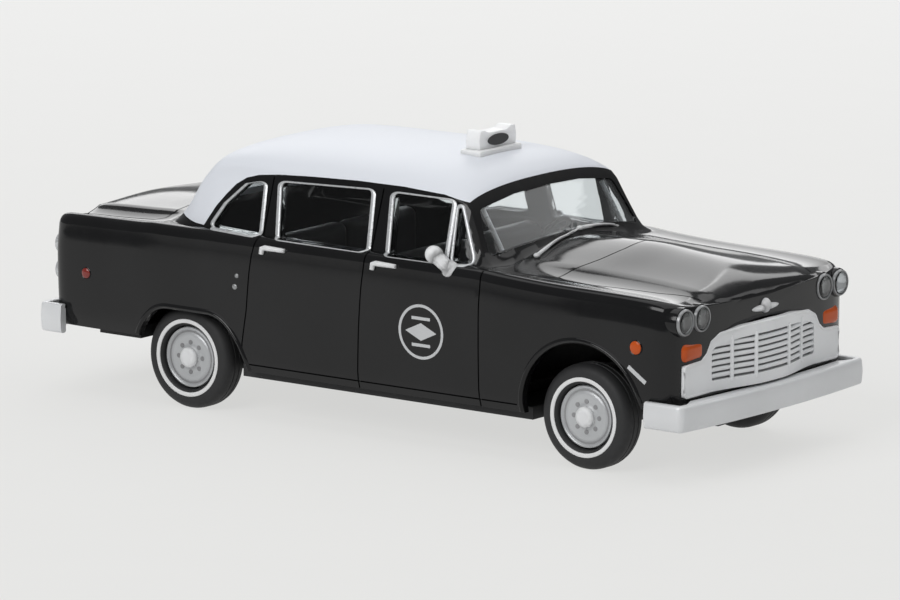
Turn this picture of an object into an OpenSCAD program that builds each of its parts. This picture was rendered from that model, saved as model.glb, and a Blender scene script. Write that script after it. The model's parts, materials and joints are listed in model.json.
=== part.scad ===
// Scale model of a 1960s taxi sedan, all lengths in millimetres.
// +X is forward, +Y is the car's left, +Z is up; the origin is on the ground below the middle of the car.

/* [Overall] */
// Length from bumper face to bumper face
overall_length = 58.2; // [52:0.1:64]
// Width of the body at its widest
body_width = 21.8; // [20:0.1:24]
// Height of the belt line, where the side windows start
belt_height = 13.3; // [12.4:0.1:14.5]
// Height of the roof's crown
roof_height = 19.6; // [18.4:0.1:20.5]
// Height of the sill's lower edge
sill_height = 3.55; // [3.3:0.05:3.7]
// Wall thickness of the moulded body
body_wall = 0.6; // [0.5:0.05:0.8]

/* [Wheels] */
// Distance from the front axle to the front bumper's face
front_overhang = 9.7; // [9.2:0.1:10.5]
// Distance from the rear axle to the rear bumper's face
rear_overhang = 13.5; // [12.9:0.1:14.2]
// Outer radius of the tyres
tyre_radius = 3.72; // [3.5:0.02:3.9]
// Width of the tyres
tyre_width = 2.2; // [1.8:0.1:2.5]
// How far the outer faces of the tyres lie inside the body's sides
wheel_inset = 0.95; // [0.8:0.05:1.4]
// Radius of the wheel discs
disc_radius = 2.3; // [2:0.05:2.6]
// Radius of the steel axle pins
axle_radius = 0.5; // [0.4:0.05:0.7]

/* [Bumpers] */
// Thickness of the bumper bars
bumper_wall = 0.55; // [0.45:0.05:0.6]
// Height of the front bumper bar
front_bumper_height = 1.85; // [1.5:0.05:2.2]
// Height of the rear bumper bar
rear_bumper_height = 2.1; // [1.7:0.05:2.4]
// Forward bow of the bumpers in plan
bumper_bow = 0.6; // [0.4:0.05:1.2]

/* [Grille and lamps] */
// Height of the grille's middle arch
grille_height = 4.3; // [3.8:0.05:4.6]
// Forward bow of the grille in plan
grille_bow = 1; // [0.6:0.05:1.3]
// Radius of a headlamp bezel
bezel_radius = 0.93; // [0.85:0.01:0.96]
// Radius of a headlamp lens
lens_radius = 0.76; // [0.6:0.02:0.78]

/* [Roof sign] */
// Width of the roof sign across the car
sign_width = 5; // [3.5:0.1:6]
// Height of the roof sign
sign_height = 1.5; // [1.5:0.05:2.2]

/* [Hidden] */
$fn = 48;
bow_facets = 720; // for arcs of large radius
overrun = 1; // how far a cut reaches past what it cuts
seat_clearance = 0.03; // gap between pieces that are pressed together
bearing_clearance = 0.05; // radial gap between an axle and its bearing

half_length = overall_length / 2;
half_width = body_width / 2;
front_axle_x = half_length - front_overhang;
rear_axle_x = rear_overhang - half_length;
cabin_rise = roof_height - belt_height;
end_rise = 1.45; // lower edges at the nose and tail above the sill
wheel_span = body_width - 2 * wheel_inset; // between the outer faces of the tyres

// The body's outer skin, one row per station from the tail to the nose.
// Columns: place along the length as a share of overall_length; half width as a share of half_width;
// fender top, deck crown and deck valley depth as shares of belt_height;
// lower edge above the sill as a share of end_rise; window base and roof edge half widths, of half_width;
// roof edge and roof crown above the belt line as shares of cabin_rise (-1 where there is no cabin);
// roundness of the roof's cross section: 1 is a parabola, 2 nearly an ellipse, more is squarer.
X = 0;
SIDE = 1;
FENDER = 2;
DECK = 3;
VALLEY = 4;
FLOOR = 5;
BASE = 6;
EDGE = 7;
DRIP = 8;
CROWN = 9;
ROUND = 10;
body_section_shares = [
  [-0.4765, 0.600, 0.930, 0.955, 0.010, 1.08, 0.40, 0.36, -1, -1, 1],
  [-0.4740, 0.885, 0.945, 0.970, 0.020, 0.99, 0.62, 0.58, -1, -1, 1],
  [-0.4680, 0.947, 0.968, 0.993, 0.030, 0.96, 0.68, 0.64, -1, -1, 1],
  [-0.452, 0.973, 0.982, 1.010, 0.036, 0.96, 0.70, 0.66, -1, -1, 1],
  [-0.378, 0.987, 0.990, 1.035, 0.036, 0.96, 0.71, 0.67, -1, -1, 1],
  [-0.333, 0.996, 0.995, 1.048, 0.030, 0.96, 0.72, 0.68, -1, -1, 1],
  [-0.318, 0.998, 1.000, 1.048, 0.022, 0.58, 0.75, 0.72, -0.038, 0.095, 1],
  [-0.290, 1.000, 1.000, 1.030, 0.010, 0.00, 0.82, 0.77, 0.096, 0.450, 1.5],
  [-0.262, 1.000, 1.000, 1.010, 0.000, 0.00, 0.86, 0.79, 0.373, 0.725, 2.6],
  [-0.233, 1.000, 1.003, 1.003, 0.000, 0.00, 0.88, 0.79, 0.600, 0.880, 3.6],
  [-0.189, 1.000, 1.003, 1.003, 0.000, 0.00, 0.89, 0.79, 0.650, 0.944, 3],
  [-0.137, 1.000, 1.003, 1.003, 0.000, 0.00, 0.90, 0.793, 0.668, 0.973, 2.4],
  [-0.069, 1.000, 1.003, 1.003, 0.000, 0.00, 0.905, 0.797, 0.684, 0.989, 2],
  [0.000, 1.000, 1.003, 1.003, 0.000, 0.00, 0.905, 0.798, 0.689, 1.000, 2],
  [0.069, 1.000, 1.002, 1.003, 0.000, 0.00, 0.905, 0.797, 0.674, 0.976, 2],
  [0.112, 1.000, 1.000, 1.010, 0.000, 0.00, 0.903, 0.793, 0.650, 0.913, 2],
  [0.144, 1.000, 0.999, 1.030, 0.002, 0.00, 0.898, 0.785, 0.608, 0.778, 1.6],
  [0.163, 0.999, 0.997, 1.050, 0.004, 0.00, 0.890, 0.808, 0.327, 0.513, 1.2],
  [0.182, 0.998, 0.995, 1.060, 0.006, 0.00, 0.880, 0.835, 0.037, 0.290, 1],
  [0.197, 0.997, 0.990, 1.068, 0.008, 0.00, 0.860, 0.835, -0.161, 0.138, 1],
  [0.213, 0.996, 0.984, 1.074, 0.010, 0.00, 0.840, 0.80, -1, -1, 1],
  [0.297, 0.993, 0.966, 1.082, 0.014, 0.00, 0.820, 0.78, -1, -1, 1],
  [0.361, 0.990, 0.961, 1.056, 0.014, 1.00, 0.810, 0.77, -1, -1, 1],
  [0.421, 0.985, 0.953, 1.012, 0.014, 1.00, 0.800, 0.76, -1, -1, 1],
  [0.450, 0.972, 0.942, 0.977, 0.012, 1.00, 0.790, 0.75, -1, -1, 1],
  [0.463, 0.925, 0.925, 0.950, 0.010, 1.00, 0.780, 0.74, -1, -1, 1],
  [0.4705, 0.790, 0.910, 0.925, 0.006, 1.00, 0.585, 0.555, -1, -1, 1],
  [0.4745, 0.420, 0.895, 0.905, 0.003, 1.00, 0.240, 0.220, -1, -1, 1],
];
LAST_ROW = len(body_section_shares) - 1;
INNER_FIRST = 3; // rows between which the moulding is hollow
INNER_LAST = LAST_ROW - 3;

// Shape of every cross section
shoulder_radius = 0.75; // rounding where the side turns into the fender top
sill_tuck = 0.45; // how far the lower edge lies inside the widest line
sill_rise = 1.1; // height over which the side tucks under
sill_lean = 0.14; // inset of the side where the tuck starts
side_lean = 0.2; // inset of the side where the shoulder starts
widest_share = 0.7; // height of the widest line, of the fender top's height
deck_slope_share = 0.85; // exponent that spreads the deck's crown
valley_share = 0.8; // place of the deck's valley, of the shoulder's half width
ROOF_EXPONENT = 2.4; // exponent of the roof's cross section
SHOULDER_STEPS = 4;
LEDGE_STEPS = 3;
PILLAR_STEPS = 3;
ROOF_STEPS = 10;

// Deck height at half width y: a crown that falls to the fender top, with a valley beside it
function deck_height(row, y, reach, top, crown) =
  let (t = min(1, y / reach), fall = (1 - cos(180 * pow(t, deck_slope_share))) / 2,
       dip = max(0, 1 - pow((t - valley_share) / (1 - valley_share), 2)))
  crown + (top - crown) * fall - row[VALLEY] * belt_height * dip;

// Cabin height at half width y: a straight pillar line up to the roof edge, then the roof's crown
function cabin_height(row, y, base, edge, low, drip, crown) =
  y >= base ? 0
  : y > edge ? low + (drip - low) * (base - y) / (base - edge)
  : drip + (crown - drip) * pow(1 - pow(y / edge, ROOF_EXPONENT), 1 / row[ROUND]);

// Half of a cross section as [y, z] points, from the lower edge over the side to the middle of the top
function half_section(row, inset, drop) =
  let (hw = row[SIDE] * half_width - inset,
       floor_z = sill_height + row[FLOOR] * end_rise - drop,
       top = row[FENDER] * belt_height - inset,
       crown = row[DECK] * belt_height - inset,
       r = shoulder_radius,
       reach = hw - side_lean - r,
       base = min(row[BASE] * half_width - inset, reach),
       edge = min(row[EDGE] * half_width - inset, base),
       drip = belt_height + row[DRIP] * cabin_rise - inset,
       roof = belt_height + row[CROWN] * cabin_rise - inset,
       low = deck_height(row, base, reach, top, crown),
       ledge_ys = [for (i = [1:LEDGE_STEPS]) reach + (base - reach) * i / LEDGE_STEPS],
       pillar_ys = [for (i = [1:PILLAR_STEPS]) base + (edge - base) * i / PILLAR_STEPS],
       roof_ys = [for (i = [1:ROOF_STEPS]) edge * cos(90 * i / ROOF_STEPS)])
  concat(
    [[hw - sill_tuck, floor_z], [hw - sill_lean, floor_z + sill_rise],
     [hw, widest_share * (top - floor_z) + floor_z]],
    [for (i = [0:SHOULDER_STEPS])
      let (a = 90 * i / SHOULDER_STEPS) [reach + r * cos(a), top - r + r * sin(a)]],
    [for (y = concat(ledge_ys, pillar_ys, roof_ys))
      [y, max(deck_height(row, y, reach, top, crown),
              cabin_height(row, y, base, edge, low, drip, roof))]]
  );

// Whole cross section at a station, from the half and its mirror image
function station_ring(i, inset, drop) =
  let (row = body_section_shares[i], half = half_section(row, inset, drop), n = len(half),
       x = row[X] * overall_length)
  concat([for (p = half) [x, p[0], p[1]]], [for (k = [n - 2:-1:0]) [x, -half[k][0], half[k][1]]]);

// Middle of the face that closes the skin at a station
function station_middle(i) =
  let (row = body_section_shares[i])
  [row[X] * overall_length, 0, (sill_height + row[FENDER] * belt_height) / 2];

// Solid between two stations of the skin, moved inwards by inset and down at the floor by drop
module skin(first, last, inset, drop) {
  rings = [for (i = [first:last]) station_ring(i, inset, drop)];
  n = len(rings[0]);
  end = (last - first) * n;
  tail = end + n;
  nose = tail + 1;
  sides = [for (i = [0:last - first - 1]) for (k = [0:n - 1]) let (a = i * n + k, b = i * n + (k + 1) % n)
    each [[a, b + n, b], [a, a + n, b + n]]];
  caps = [for (k = [0:n - 1]) let (b = (k + 1) % n) each [[tail, k, b], [nose, end + b, end + k]]];
  polyhedron(points = concat([for (ring = rings) each ring], [station_middle(first), station_middle(last)]),
             faces = concat(sides, caps), convexity = 10);
}

// Skin as a hollow moulding, open below
module shell() {
  difference() {
    skin(0, LAST_ROW, 0, 0);
    skin(INNER_FIRST, INNER_LAST, body_wall, overrun);
  }
}

// Outline of the white roof moulding seen from the side, along the rear deck, up the rear pillar and along the
// drip rail to the windscreen's top edge: shares of overall_length and, above the belt line, of cabin_rise
roof_outline_shares = [
  [-0.335, 0.109], [-0.318, 0.109], [-0.290, 0.071], [-0.262, 0.028], [-0.247, 0.022], [-0.231, 0.254],
  [-0.218, 0.394], [-0.205, 0.516], [-0.190, 0.601], [-0.172, 0.647], [-0.140, 0.681], [-0.090, 0.708],
  [-0.020, 0.730], [0.050, 0.730], [0.110, 0.699], [0.1445, 0.638], [0.1445, 1.241], [-0.335, 1.241],
];

// Side windows seen from the side: shares of overall_length and, above the belt line, of cabin_rise
side_window_shares = [
  [[-0.234, 0.016], [-0.157, -0.002], [-0.162, 0.585], [-0.186, 0.534], [-0.214, 0.297]],
  [[-0.124, -0.008], [0.009, -0.014], [0.003, 0.647], [-0.134, 0.601]],
  [[0.045, -0.021], [0.125, -0.021], [0.123, 0.644], [0.038, 0.650]],
  [[0.1385, -0.008], [0.167, -0.002], [0.1375, 0.575], [0.1335, 0.575]],
];

// Windscreen and rear window seen along the car: shares of half_width and, above the belt line, of cabin_rise
windscreen_shares = [
  [0.800, 0.059], [0.560, 0.129], [0.280, 0.169], [0, 0.181], [-0.280, 0.169], [-0.560, 0.129], [-0.800, 0.059],
  [-0.770, 0.297], [-0.720, 0.540], [-0.690, 0.570], [-0.350, 0.647], [0, 0.665], [0.350, 0.647], [0.690, 0.570],
  [0.720, 0.540], [0.770, 0.297],
];
rear_window_shares = [
  [0.640, 0.150], [0.320, 0.174], [0, 0.186], [-0.320, 0.174], [-0.640, 0.150], [-0.690, 0.236], [-0.640, 0.479],
  [-0.560, 0.570], [0, 0.632], [0.560, 0.570], [0.640, 0.479], [0.690, 0.236],
];
WINDSCREEN_FIRST = 14; // station rows that the windscreen spans
WINDSCREEN_LAST = 20;
windscreen_front_share = 0.213;
windscreen_back_share = 0.100;
REAR_WINDOW_FIRST = 5;
REAR_WINDOW_LAST = 11;
rear_window_front_share = -0.180;
rear_window_back_share = -0.345;
SIDE_FIRST = 6; // station rows that the side windows span
SIDE_LAST = 19;
pane_set = 0.1; // how far the panes lie below the skin
pane_wall = 0.35; // thickness of the panes

// Prism across the car from a side outline given in shares
module side_prism(shares, width) {
  rotate([90, 0, 0])
    linear_extrude(height = width, center = true)
      polygon([for (p = shares) [p[0] * overall_length, belt_height + p[1] * cabin_rise]]);
}

// Prism along the car from an end outline given in shares
module end_prism(shares, back_share, front_share) {
  translate([back_share * overall_length, 0, 0])
    rotate([90, 0, 90])
      linear_extrude(height = (front_share - back_share) * overall_length)
        polygon([for (p = shares) [p[0] * half_width, belt_height + p[1] * cabin_rise]]);
}

module roof_prism() {
  side_prism(roof_outline_shares, body_width + overrun);
}

module windscreen_prism() {
  end_prism(windscreen_shares, windscreen_back_share, windscreen_front_share);
}

module rear_window_prism() {
  end_prism(rear_window_shares, rear_window_back_share, rear_window_front_share);
}

// Wheel arches: a round one in front, a flat-topped one behind
front_arch_radius = 4.95;
front_arch_rise = 0.4; // centre above the axle
front_arch_shift = 0.25; // centre ahead of the axle
rear_arch_radius = 5.3;
rear_arch_drop = 1.1; // centre below the axle
rear_arch_shift = 0.7; // centre ahead of the axle
rear_arch_top = 7.3; // height of the flat top

module arch_cuts() {
  translate([front_axle_x + front_arch_shift, 0, tyre_radius + front_arch_rise])
    rotate([90, 0, 0])
      cylinder(r = front_arch_radius, h = body_width + overrun, center = true);
  rotate([90, 0, 0])
    linear_extrude(height = body_width + overrun, center = true)
      intersection() {
        translate([rear_axle_x + rear_arch_shift, tyre_radius - rear_arch_drop])
          circle(r = rear_arch_radius);
        translate([rear_axle_x + rear_arch_shift - rear_arch_radius, -overrun])
          square([2 * rear_arch_radius, rear_arch_top + overrun]);
      }
}

module body_shell() {
  color([0.03, 0.03, 0.035])
    difference() {
      shell();
      roof_prism();
      windscreen_prism();
      for (shares = side_window_shares) side_prism(shares, body_width + overrun);
      arch_cuts();
      grille_block(seat_clearance);
      for (side = [1, -1]) {
        for (y = lamp_ys) lamp_place(side, y) cylinder(r = bezel_radius + seat_clearance, h = socket_depth);
        signal_block(side, seat_clearance, socket_depth);
        for (place = [FRONT_MARKER, REAR_MARKER]) marker_block(side, place, seat_clearance, socket_depth);
        for (z = tail_lamp_zs)
          tail_place(side, z) cylinder(r = tail_lamp_radius + seat_clearance, h = socket_depth);
        for (share = handle_shares) handle_block(side, share, seat_clearance);
      }
      mirror_foot(seat_clearance);
    }
}

module roof() {
  color([0.92, 0.93, 0.95])
    difference() {
      intersection() {
        shell();
        roof_prism();
      }
      rear_window_prism();
      sign_base(seat_clearance);
    }
}

// Clear skin just below the outer one between two stations
module pane_skin(first, last) {
  difference() {
    skin(first, last, pane_set, 0);
    skin(first, last, pane_set + pane_wall, overrun);
  }
}

module windscreen() {
  color([0.8, 0.87, 0.9, 0.4])
    intersection() {
      pane_skin(WINDSCREEN_FIRST, WINDSCREEN_LAST);
      windscreen_prism();
    }
}

module rear_window() {
  color([0.8, 0.87, 0.9, 0.4])
    intersection() {
      pane_skin(REAR_WINDOW_FIRST, REAR_WINDOW_LAST);
      rear_window_prism();
    }
}

// The four panes of one side; side is 1 on the left, -1 on the right
module side_panes(side) {
  color([0.8, 0.87, 0.9, 0.4])
    intersection() {
      pane_skin(SIDE_FIRST, SIDE_LAST);
      union() for (shares = side_window_shares) side_prism(shares, body_width + overrun);
      translate([-half_length, side > 0 ? 0 : -body_width, 0])
        cube([overall_length, body_width, roof_height]);
    }
}

module side_panes_left() {
  side_panes(1);
}

module side_panes_right() {
  side_panes(-1);
}

// Chassis: a flat plate that steps up behind the rear axle, with blocks that carry the axles
chassis_drop = 0.65; // underside below the sill
chassis_wall = 0.9;
chassis_gap = 1.5; // between the plate's edges and the body's widest line
wheel_gap = 0.45; // between the chassis and the tyres' inner faces
wheel_bay_length = 9.4;
chassis_tail_rise = 1.6;
chassis_tail_gap = 5; // rear end ahead of the rear bumper's face
chassis_nose_gap = 2.91; // front end behind the front bumper's face
tongue_width = 7; // width of the chassis ahead of the front axle
bearing_length = 2.6;
bearing_rise = 1.28; // top of the bearing blocks above the axles
exhaust_radius = 0.32;
exhaust_set = 0.06; // pipe's lowest line above the underside
exhaust_y = 4.2;
exhaust_length_share = 0.52;
silencer_width = 1.8;
silencer_length = 6;
chassis_bottom = sill_height - chassis_drop;
bearing_top = tyre_radius + bearing_rise;
chassis_width = body_width - 2 * chassis_gap;
wheel_bay_width = wheel_span - 2 * (tyre_width + wheel_gap); // width of the chassis between the wheels

module chassis() {
  back_x = chassis_tail_gap - half_length;
  front_x = half_length - chassis_nose_gap;
  step_x = rear_axle_x - wheel_bay_length / 2;
  low_x = rear_axle_x - bearing_length;
  bay_x = front_axle_x + bearing_length / 2;
  top = chassis_bottom + chassis_wall;
  color([0.06, 0.06, 0.065])
    difference() {
      union() {
        rotate([90, 0, 0])
          linear_extrude(height = chassis_width, center = true)
            polygon([
              [low_x, chassis_bottom], [bay_x, chassis_bottom], [bay_x, top], [low_x, top],
              [step_x, top + chassis_tail_rise], [back_x, top + chassis_tail_rise],
              [back_x, chassis_bottom + chassis_tail_rise], [step_x, chassis_bottom + chassis_tail_rise],
            ]);
        translate([front_axle_x, -tongue_width / 2, chassis_bottom])
          cube([front_x - front_axle_x, tongue_width, chassis_wall]);
        for (x = [front_axle_x, rear_axle_x])
          translate([x - bearing_length / 2, -wheel_bay_width / 2, chassis_bottom])
            cube([bearing_length, wheel_bay_width, bearing_top - chassis_bottom]);
      }
      for (x = [front_axle_x, rear_axle_x])
        for (side = [1, -1])
          translate([x - wheel_bay_length / 2, side > 0 ? wheel_bay_width / 2 : -chassis_width, 0])
            cube([wheel_bay_length, chassis_width - wheel_bay_width / 2, belt_height]);
      for (x = [front_axle_x, rear_axle_x])
        translate([x, 0, tyre_radius])
          rotate([90, 0, 0])
            cylinder(r = axle_radius + bearing_clearance, h = body_width, center = true);
      exhaust_channel();
    }
}

// Channel in the underside for the pipe and the flat silencer
module exhaust_channel() {
  depth = exhaust_set + 2 * exhaust_radius + seat_clearance + overrun;
  for (size = [[exhaust_length_share * overall_length, 2 * exhaust_radius], [silencer_length, silencer_width]])
    translate([-size[0] / 2 - seat_clearance, exhaust_y - size[1] / 2 - seat_clearance, chassis_bottom - overrun])
      cube([size[0] + 2 * seat_clearance, size[1] + 2 * seat_clearance, depth]);
}

module exhaust() {
  color([0.3, 0.3, 0.31])
    translate([0, exhaust_y, chassis_bottom + exhaust_set + exhaust_radius])
      union() {
        rotate([0, 90, 0])
          cylinder(r = exhaust_radius, h = exhaust_length_share * overall_length, center = true);
        rotate([90, 0, 90])
          linear_extrude(height = silencer_length, center = true) {
            square([silencer_width - 2 * exhaust_radius, 2 * exhaust_radius], center = true);
            for (side = [1, -1])
              translate([side * (silencer_width / 2 - exhaust_radius), 0])
                circle(r = exhaust_radius);
          }
      }
}

// Interior: a floor tub with two bench seats and a dashboard, and a steering wheel on the left
tub_wall = 0.7;
tub_gap = 2.1; // between the tub's sides and the body's widest line
tub_wheel_gap = 1.7; // between the tub's rear edge and the rear tyres
tub_reach = 2; // how far the floor runs on ahead of the dashboard
seat_gap = 0.7; // between the seats and the tub's sides
seat_length = 4.6;
seat_height = 8;
seat_back_drop = 0.4; // top of the seat backs below the belt line
seat_back_wall = 1.5;
rear_seat_set = 0.17; // rear seat's back ahead of the tub's rear edge
front_seat_share = 0.02; // rear face of the front seat's back, of overall_length
dash_share = 0.165;
dash_drop = 0.6; // top of the dashboard below the belt line
dash_height = 2.9; // height of the dashboard's thick upper part
column_radius = 0.3;
column_length = 3.2;
column_angle = 60;
steering_radius = 1.75;
steering_rim = 0.22;
steering_share = 0.25; // place across the car, of the tub's width
tub_floor = chassis_bottom + chassis_wall + seat_clearance;
tub_width = body_width - 2 * tub_gap;
tub_back_x = rear_axle_x + tyre_radius + tub_wheel_gap;
dash_x = dash_share * overall_length;
dash_top = belt_height - dash_drop;
seat_width = tub_width - 2 * seat_gap;

module seat(back_x) {
  translate([back_x, -seat_width / 2, tub_floor + tub_wall / 2]) {
    cube([seat_length, seat_width, seat_height - tub_floor]);
    cube([seat_back_wall, seat_width, belt_height - seat_back_drop - tub_floor - tub_wall / 2]);
  }
}

module interior() {
  color([0.16, 0.15, 0.15])
    union() {
      translate([tub_back_x, -tub_width / 2, tub_floor])
        cube([dash_x + tub_reach - tub_back_x, tub_width, tub_wall]);
      seat(front_seat_share * overall_length);
      seat(tub_back_x + rear_seat_set);
      translate([dash_x, -tub_width / 2, tub_floor])
        cube([tub_wall, tub_width, dash_top - tub_floor]);
      translate([dash_x - tub_wall, -tub_width / 2, dash_top - dash_height])
        cube([2 * tub_wall, tub_width, dash_height]);
    }
}

module steering_wheel() {
  color([0.05, 0.05, 0.05])
    translate([dash_x - tub_wall - seat_clearance, steering_share * tub_width, dash_top - dash_height / 2])
      rotate([0, -column_angle, 0])
        difference() {
          union() {
            cylinder(r = column_radius, h = column_length);
            translate([0, 0, column_length - steering_rim])
              cylinder(r = steering_radius, h = steering_rim);
          }
          for (side = [0, 1])
            rotate([0, 0, 180 * side])
              translate([column_radius, -steering_radius, column_length - 2 * steering_rim])
                intersection() {
                  cube([steering_radius, 2 * steering_radius, 3 * steering_rim]);
                  translate([-column_radius, steering_radius, 0])
                    cylinder(r = steering_radius - 2 * steering_rim, h = 3 * steering_rim);
                }
        }
}

// Bumpers: bowed bars with short ends that wrap around the corners
front_bumper_lift = 0.32; // lower edge above the sill
rear_bumper_lift = 0.85;
bumper_out = 0.2; // how far the bumpers' ends stand out of the body's widest line
front_wrap = 3.8; // length of the front bumper's ends along the car
rear_wrap = 2.7;
bracket_width = 1.2;
bracket_height = 0.45;
bracket_y = 2.4;
bracket_lap = 1; // how far a front bracket lies on the chassis
front_bumper_bottom = sill_height + front_bumper_lift;
rear_bumper_bottom = sill_height + rear_bumper_lift;
bumper_half_width = half_width + bumper_out;
bumper_bow_radius = (pow(bumper_half_width, 2) + pow(bumper_bow, 2)) / (2 * bumper_bow);

// Plan of a bumper whose face points to +X at x = 0
module bumper_plan(wrap) {
  difference() {
    intersection() {
      translate([-bumper_bow_radius, 0])
        circle(r = bumper_bow_radius, $fn = bow_facets);
      translate([-wrap, -bumper_half_width])
        square([wrap, 2 * bumper_half_width]);
    }
    intersection() {
      translate([-bumper_bow_radius - bumper_wall, 0])
        circle(r = bumper_bow_radius, $fn = bow_facets);
      translate([-wrap - overrun, bumper_wall - bumper_half_width])
        square([wrap + overrun, 2 * (bumper_half_width - bumper_wall)]);
    }
  }
}

// Bumper bar with two brackets that reach back to the chassis
module bumper(wrap, height, reach) {
  color([0.75, 0.76, 0.77])
    union() {
      linear_extrude(height = height)
        bumper_plan(wrap);
      for (side = [1, -1])
        translate([-reach, side * bracket_y - bracket_width / 2, 0])
          cube([reach - bumper_wall / 2, bracket_width, bracket_height]);
    }
}

module front_bumper() {
  translate([half_length, 0, front_bumper_bottom])
    bumper(front_wrap, front_bumper_height, chassis_nose_gap + bracket_lap);
}

module rear_bumper() {
  translate([-half_length, 0, rear_bumper_bottom])
    rotate([0, 0, 180])
      bumper(rear_wrap, rear_bumper_height, chassis_tail_gap - seat_clearance);
}

// Grille: a bowed panel with side wings, a raised middle arch and slots in five fields
grille_drop = 7.4; // lower edge below the belt line
grille_back = 2.3; // depth of the panel's back behind the bumper face
grille_front = 0.65; // depth of the panel's middle behind the bumper face
grille_inset = 1.6; // end of a wing inside the body's widest line
wing_height = 2.3;
arch_inset = 4.3; // side of the arch inside the body's widest line
arch_rounding = 1.4;
slot_depth = 0.85;
slot_height = 0.26;
slot_pitch = 0.46;
SLOT_ROWS = 6;
slot_start = 0.62; // lowest slot above the panel's lower edge
field_shares = [[-0.93, -0.64], [-0.6, -0.31], [-0.27, 0.27], [0.31, 0.6], [0.64, 0.93]]; // of arch_half_width
grille_bottom = belt_height - grille_drop;
grille_half_width = half_width - grille_inset;
arch_half_width = half_width - arch_inset;
grille_bow_radius = (pow(grille_half_width, 2) + pow(grille_bow, 2)) / (2 * grille_bow);

// Outline of the panel seen from the front, grown by grow
module grille_outline(grow) {
  wing = wing_height + grow;
  arch = grille_height + grow;
  translate([-grille_half_width - grow, -grow])
    square([2 * (grille_half_width + grow), wing + grow]);
  translate([-arch_half_width - grow, -grow])
    square([2 * (arch_half_width + grow), arch + grow - arch_rounding]);
  translate([arch_rounding - arch_half_width - grow, -grow])
    square([2 * (arch_half_width + grow - arch_rounding), arch + grow]);
  for (side = [1, -1])
    translate([side * (arch_half_width + grow - arch_rounding), arch - arch_rounding])
      circle(r = arch_rounding);
}

module grille_block(grow) {
  translate([half_length - grille_back - grow, 0, grille_bottom])
    rotate([90, 0, 90])
      linear_extrude(height = grille_back)
        grille_outline(grow);
}

module grille() {
  color([0.75, 0.76, 0.77])
    difference() {
      intersection() {
        grille_block(0);
        translate([half_length - grille_front - grille_bow_radius, 0, 0])
          cylinder(r = grille_bow_radius, h = belt_height, $fn = bow_facets);
      }
      for (field = field_shares)
        for (i = [0:SLOT_ROWS - 1])
          translate([half_length - grille_front - slot_depth, field[0] * arch_half_width,
                     grille_bottom + slot_start + i * slot_pitch])
            cube([slot_depth + overrun, (field[1] - field[0]) * arch_half_width, slot_height]);
    }
}

// Lamps let into the body
socket_depth = 2.4;
outer_lamp_inset = 1.6; // centre of the outer headlamp inside the body's widest line
lamp_pitch = 1.95; // between the two headlamps of a side
lamp_drop = 2.1; // headlamps below the belt line
bezel_front = 1.5; // bezel's front behind the bumper face
bezel_length = 1.1;
lens_rise = 0.2; // how far a lens stands out of its bezel
signal_inset = 2.7;
signal_drop = 4.3;
signal_length = 2.4;
signal_height = 1.4;
signal_front = 1.7;
signal_depth = 1;
marker_radius = 0.45;
marker_depth = 0.9;
marker_out = 0.06; // how far a marker stands out of the widest line
front_marker_share = 0.419; // place along the car, of overall_length
rear_marker_share = -0.4175;
front_marker_drop = 3.97; // below the belt line
rear_marker_drop = 4.3;
upper_tail_drop = 2.7; // below the belt line
lower_tail_drop = 4.6;
tail_lamp_inset = 2; // inside the body's widest line
tail_lamp_radius = 0.8;
tail_lamp_length = 1;
tail_lamp_back = 1.1; // lamp's outer face ahead of the rear bumper face
outer_lamp_y = half_width - outer_lamp_inset;
lamp_ys = [outer_lamp_y - lamp_pitch, outer_lamp_y];
lamp_z = belt_height - lamp_drop;
signal_y = half_width - signal_inset;
signal_z = belt_height - signal_drop;
FRONT_MARKER = [front_marker_share * overall_length, belt_height - front_marker_drop];
REAR_MARKER = [rear_marker_share * overall_length, belt_height - rear_marker_drop];
tail_lamp_zs = [belt_height - upper_tail_drop, belt_height - lower_tail_drop];
tail_lamp_y = half_width - tail_lamp_inset;

// Places for round lamps: the local +Z axis runs into the body
module lamp_place(side, y) {
  translate([half_length - bezel_front, side * y, lamp_z])
    rotate([0, -90, 0])
      children();
}

module tail_place(side, z) {
  translate([tail_lamp_back - half_length, side * tail_lamp_y, z])
    rotate([0, 90, 0])
      children();
}

module headlamp_bezels(side) {
  color([0.7, 0.71, 0.72])
    for (y = lamp_ys)
      lamp_place(side, y)
        difference() {
          cylinder(r = bezel_radius, h = bezel_length);
          translate([0, 0, -overrun])
            cylinder(r = lens_radius, h = overrun + bezel_length / 2);
        }
}

module headlamp_bezels_left() {
  headlamp_bezels(1);
}

module headlamp_bezels_right() {
  headlamp_bezels(-1);
}

module headlamp_lenses(side) {
  color([0.85, 0.88, 0.9, 0.6])
    for (y = lamp_ys)
      lamp_place(side, y)
        translate([0, 0, -lens_rise])
          cylinder(r = lens_radius - seat_clearance, h = lens_rise + bezel_length / 2 - seat_clearance);
}

module headlamp_lenses_left() {
  headlamp_lenses(1);
}

module headlamp_lenses_right() {
  headlamp_lenses(-1);
}

// Long rounded turn signal below the headlamps, grown by grow
module signal_block(side, grow, depth) {
  straight = signal_length - signal_height;
  translate([half_length - signal_front, side * signal_y, signal_z])
    rotate([90, 0, 90])
      translate([0, 0, -depth])
        linear_extrude(height = depth + (grow > 0 ? overrun : 0)) {
          translate([-straight / 2, -signal_height / 2 - grow])
            square([straight, signal_height + 2 * grow]);
          for (end = [1, -1])
            translate([end * straight / 2, 0])
              circle(r = signal_height / 2 + grow);
        }
}

module turn_signal_left() {
  color([0.95, 0.4, 0.1])
    signal_block(1, 0, signal_depth);
}

module turn_signal_right() {
  color([0.95, 0.4, 0.1])
    signal_block(-1, 0, signal_depth);
}

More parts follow.
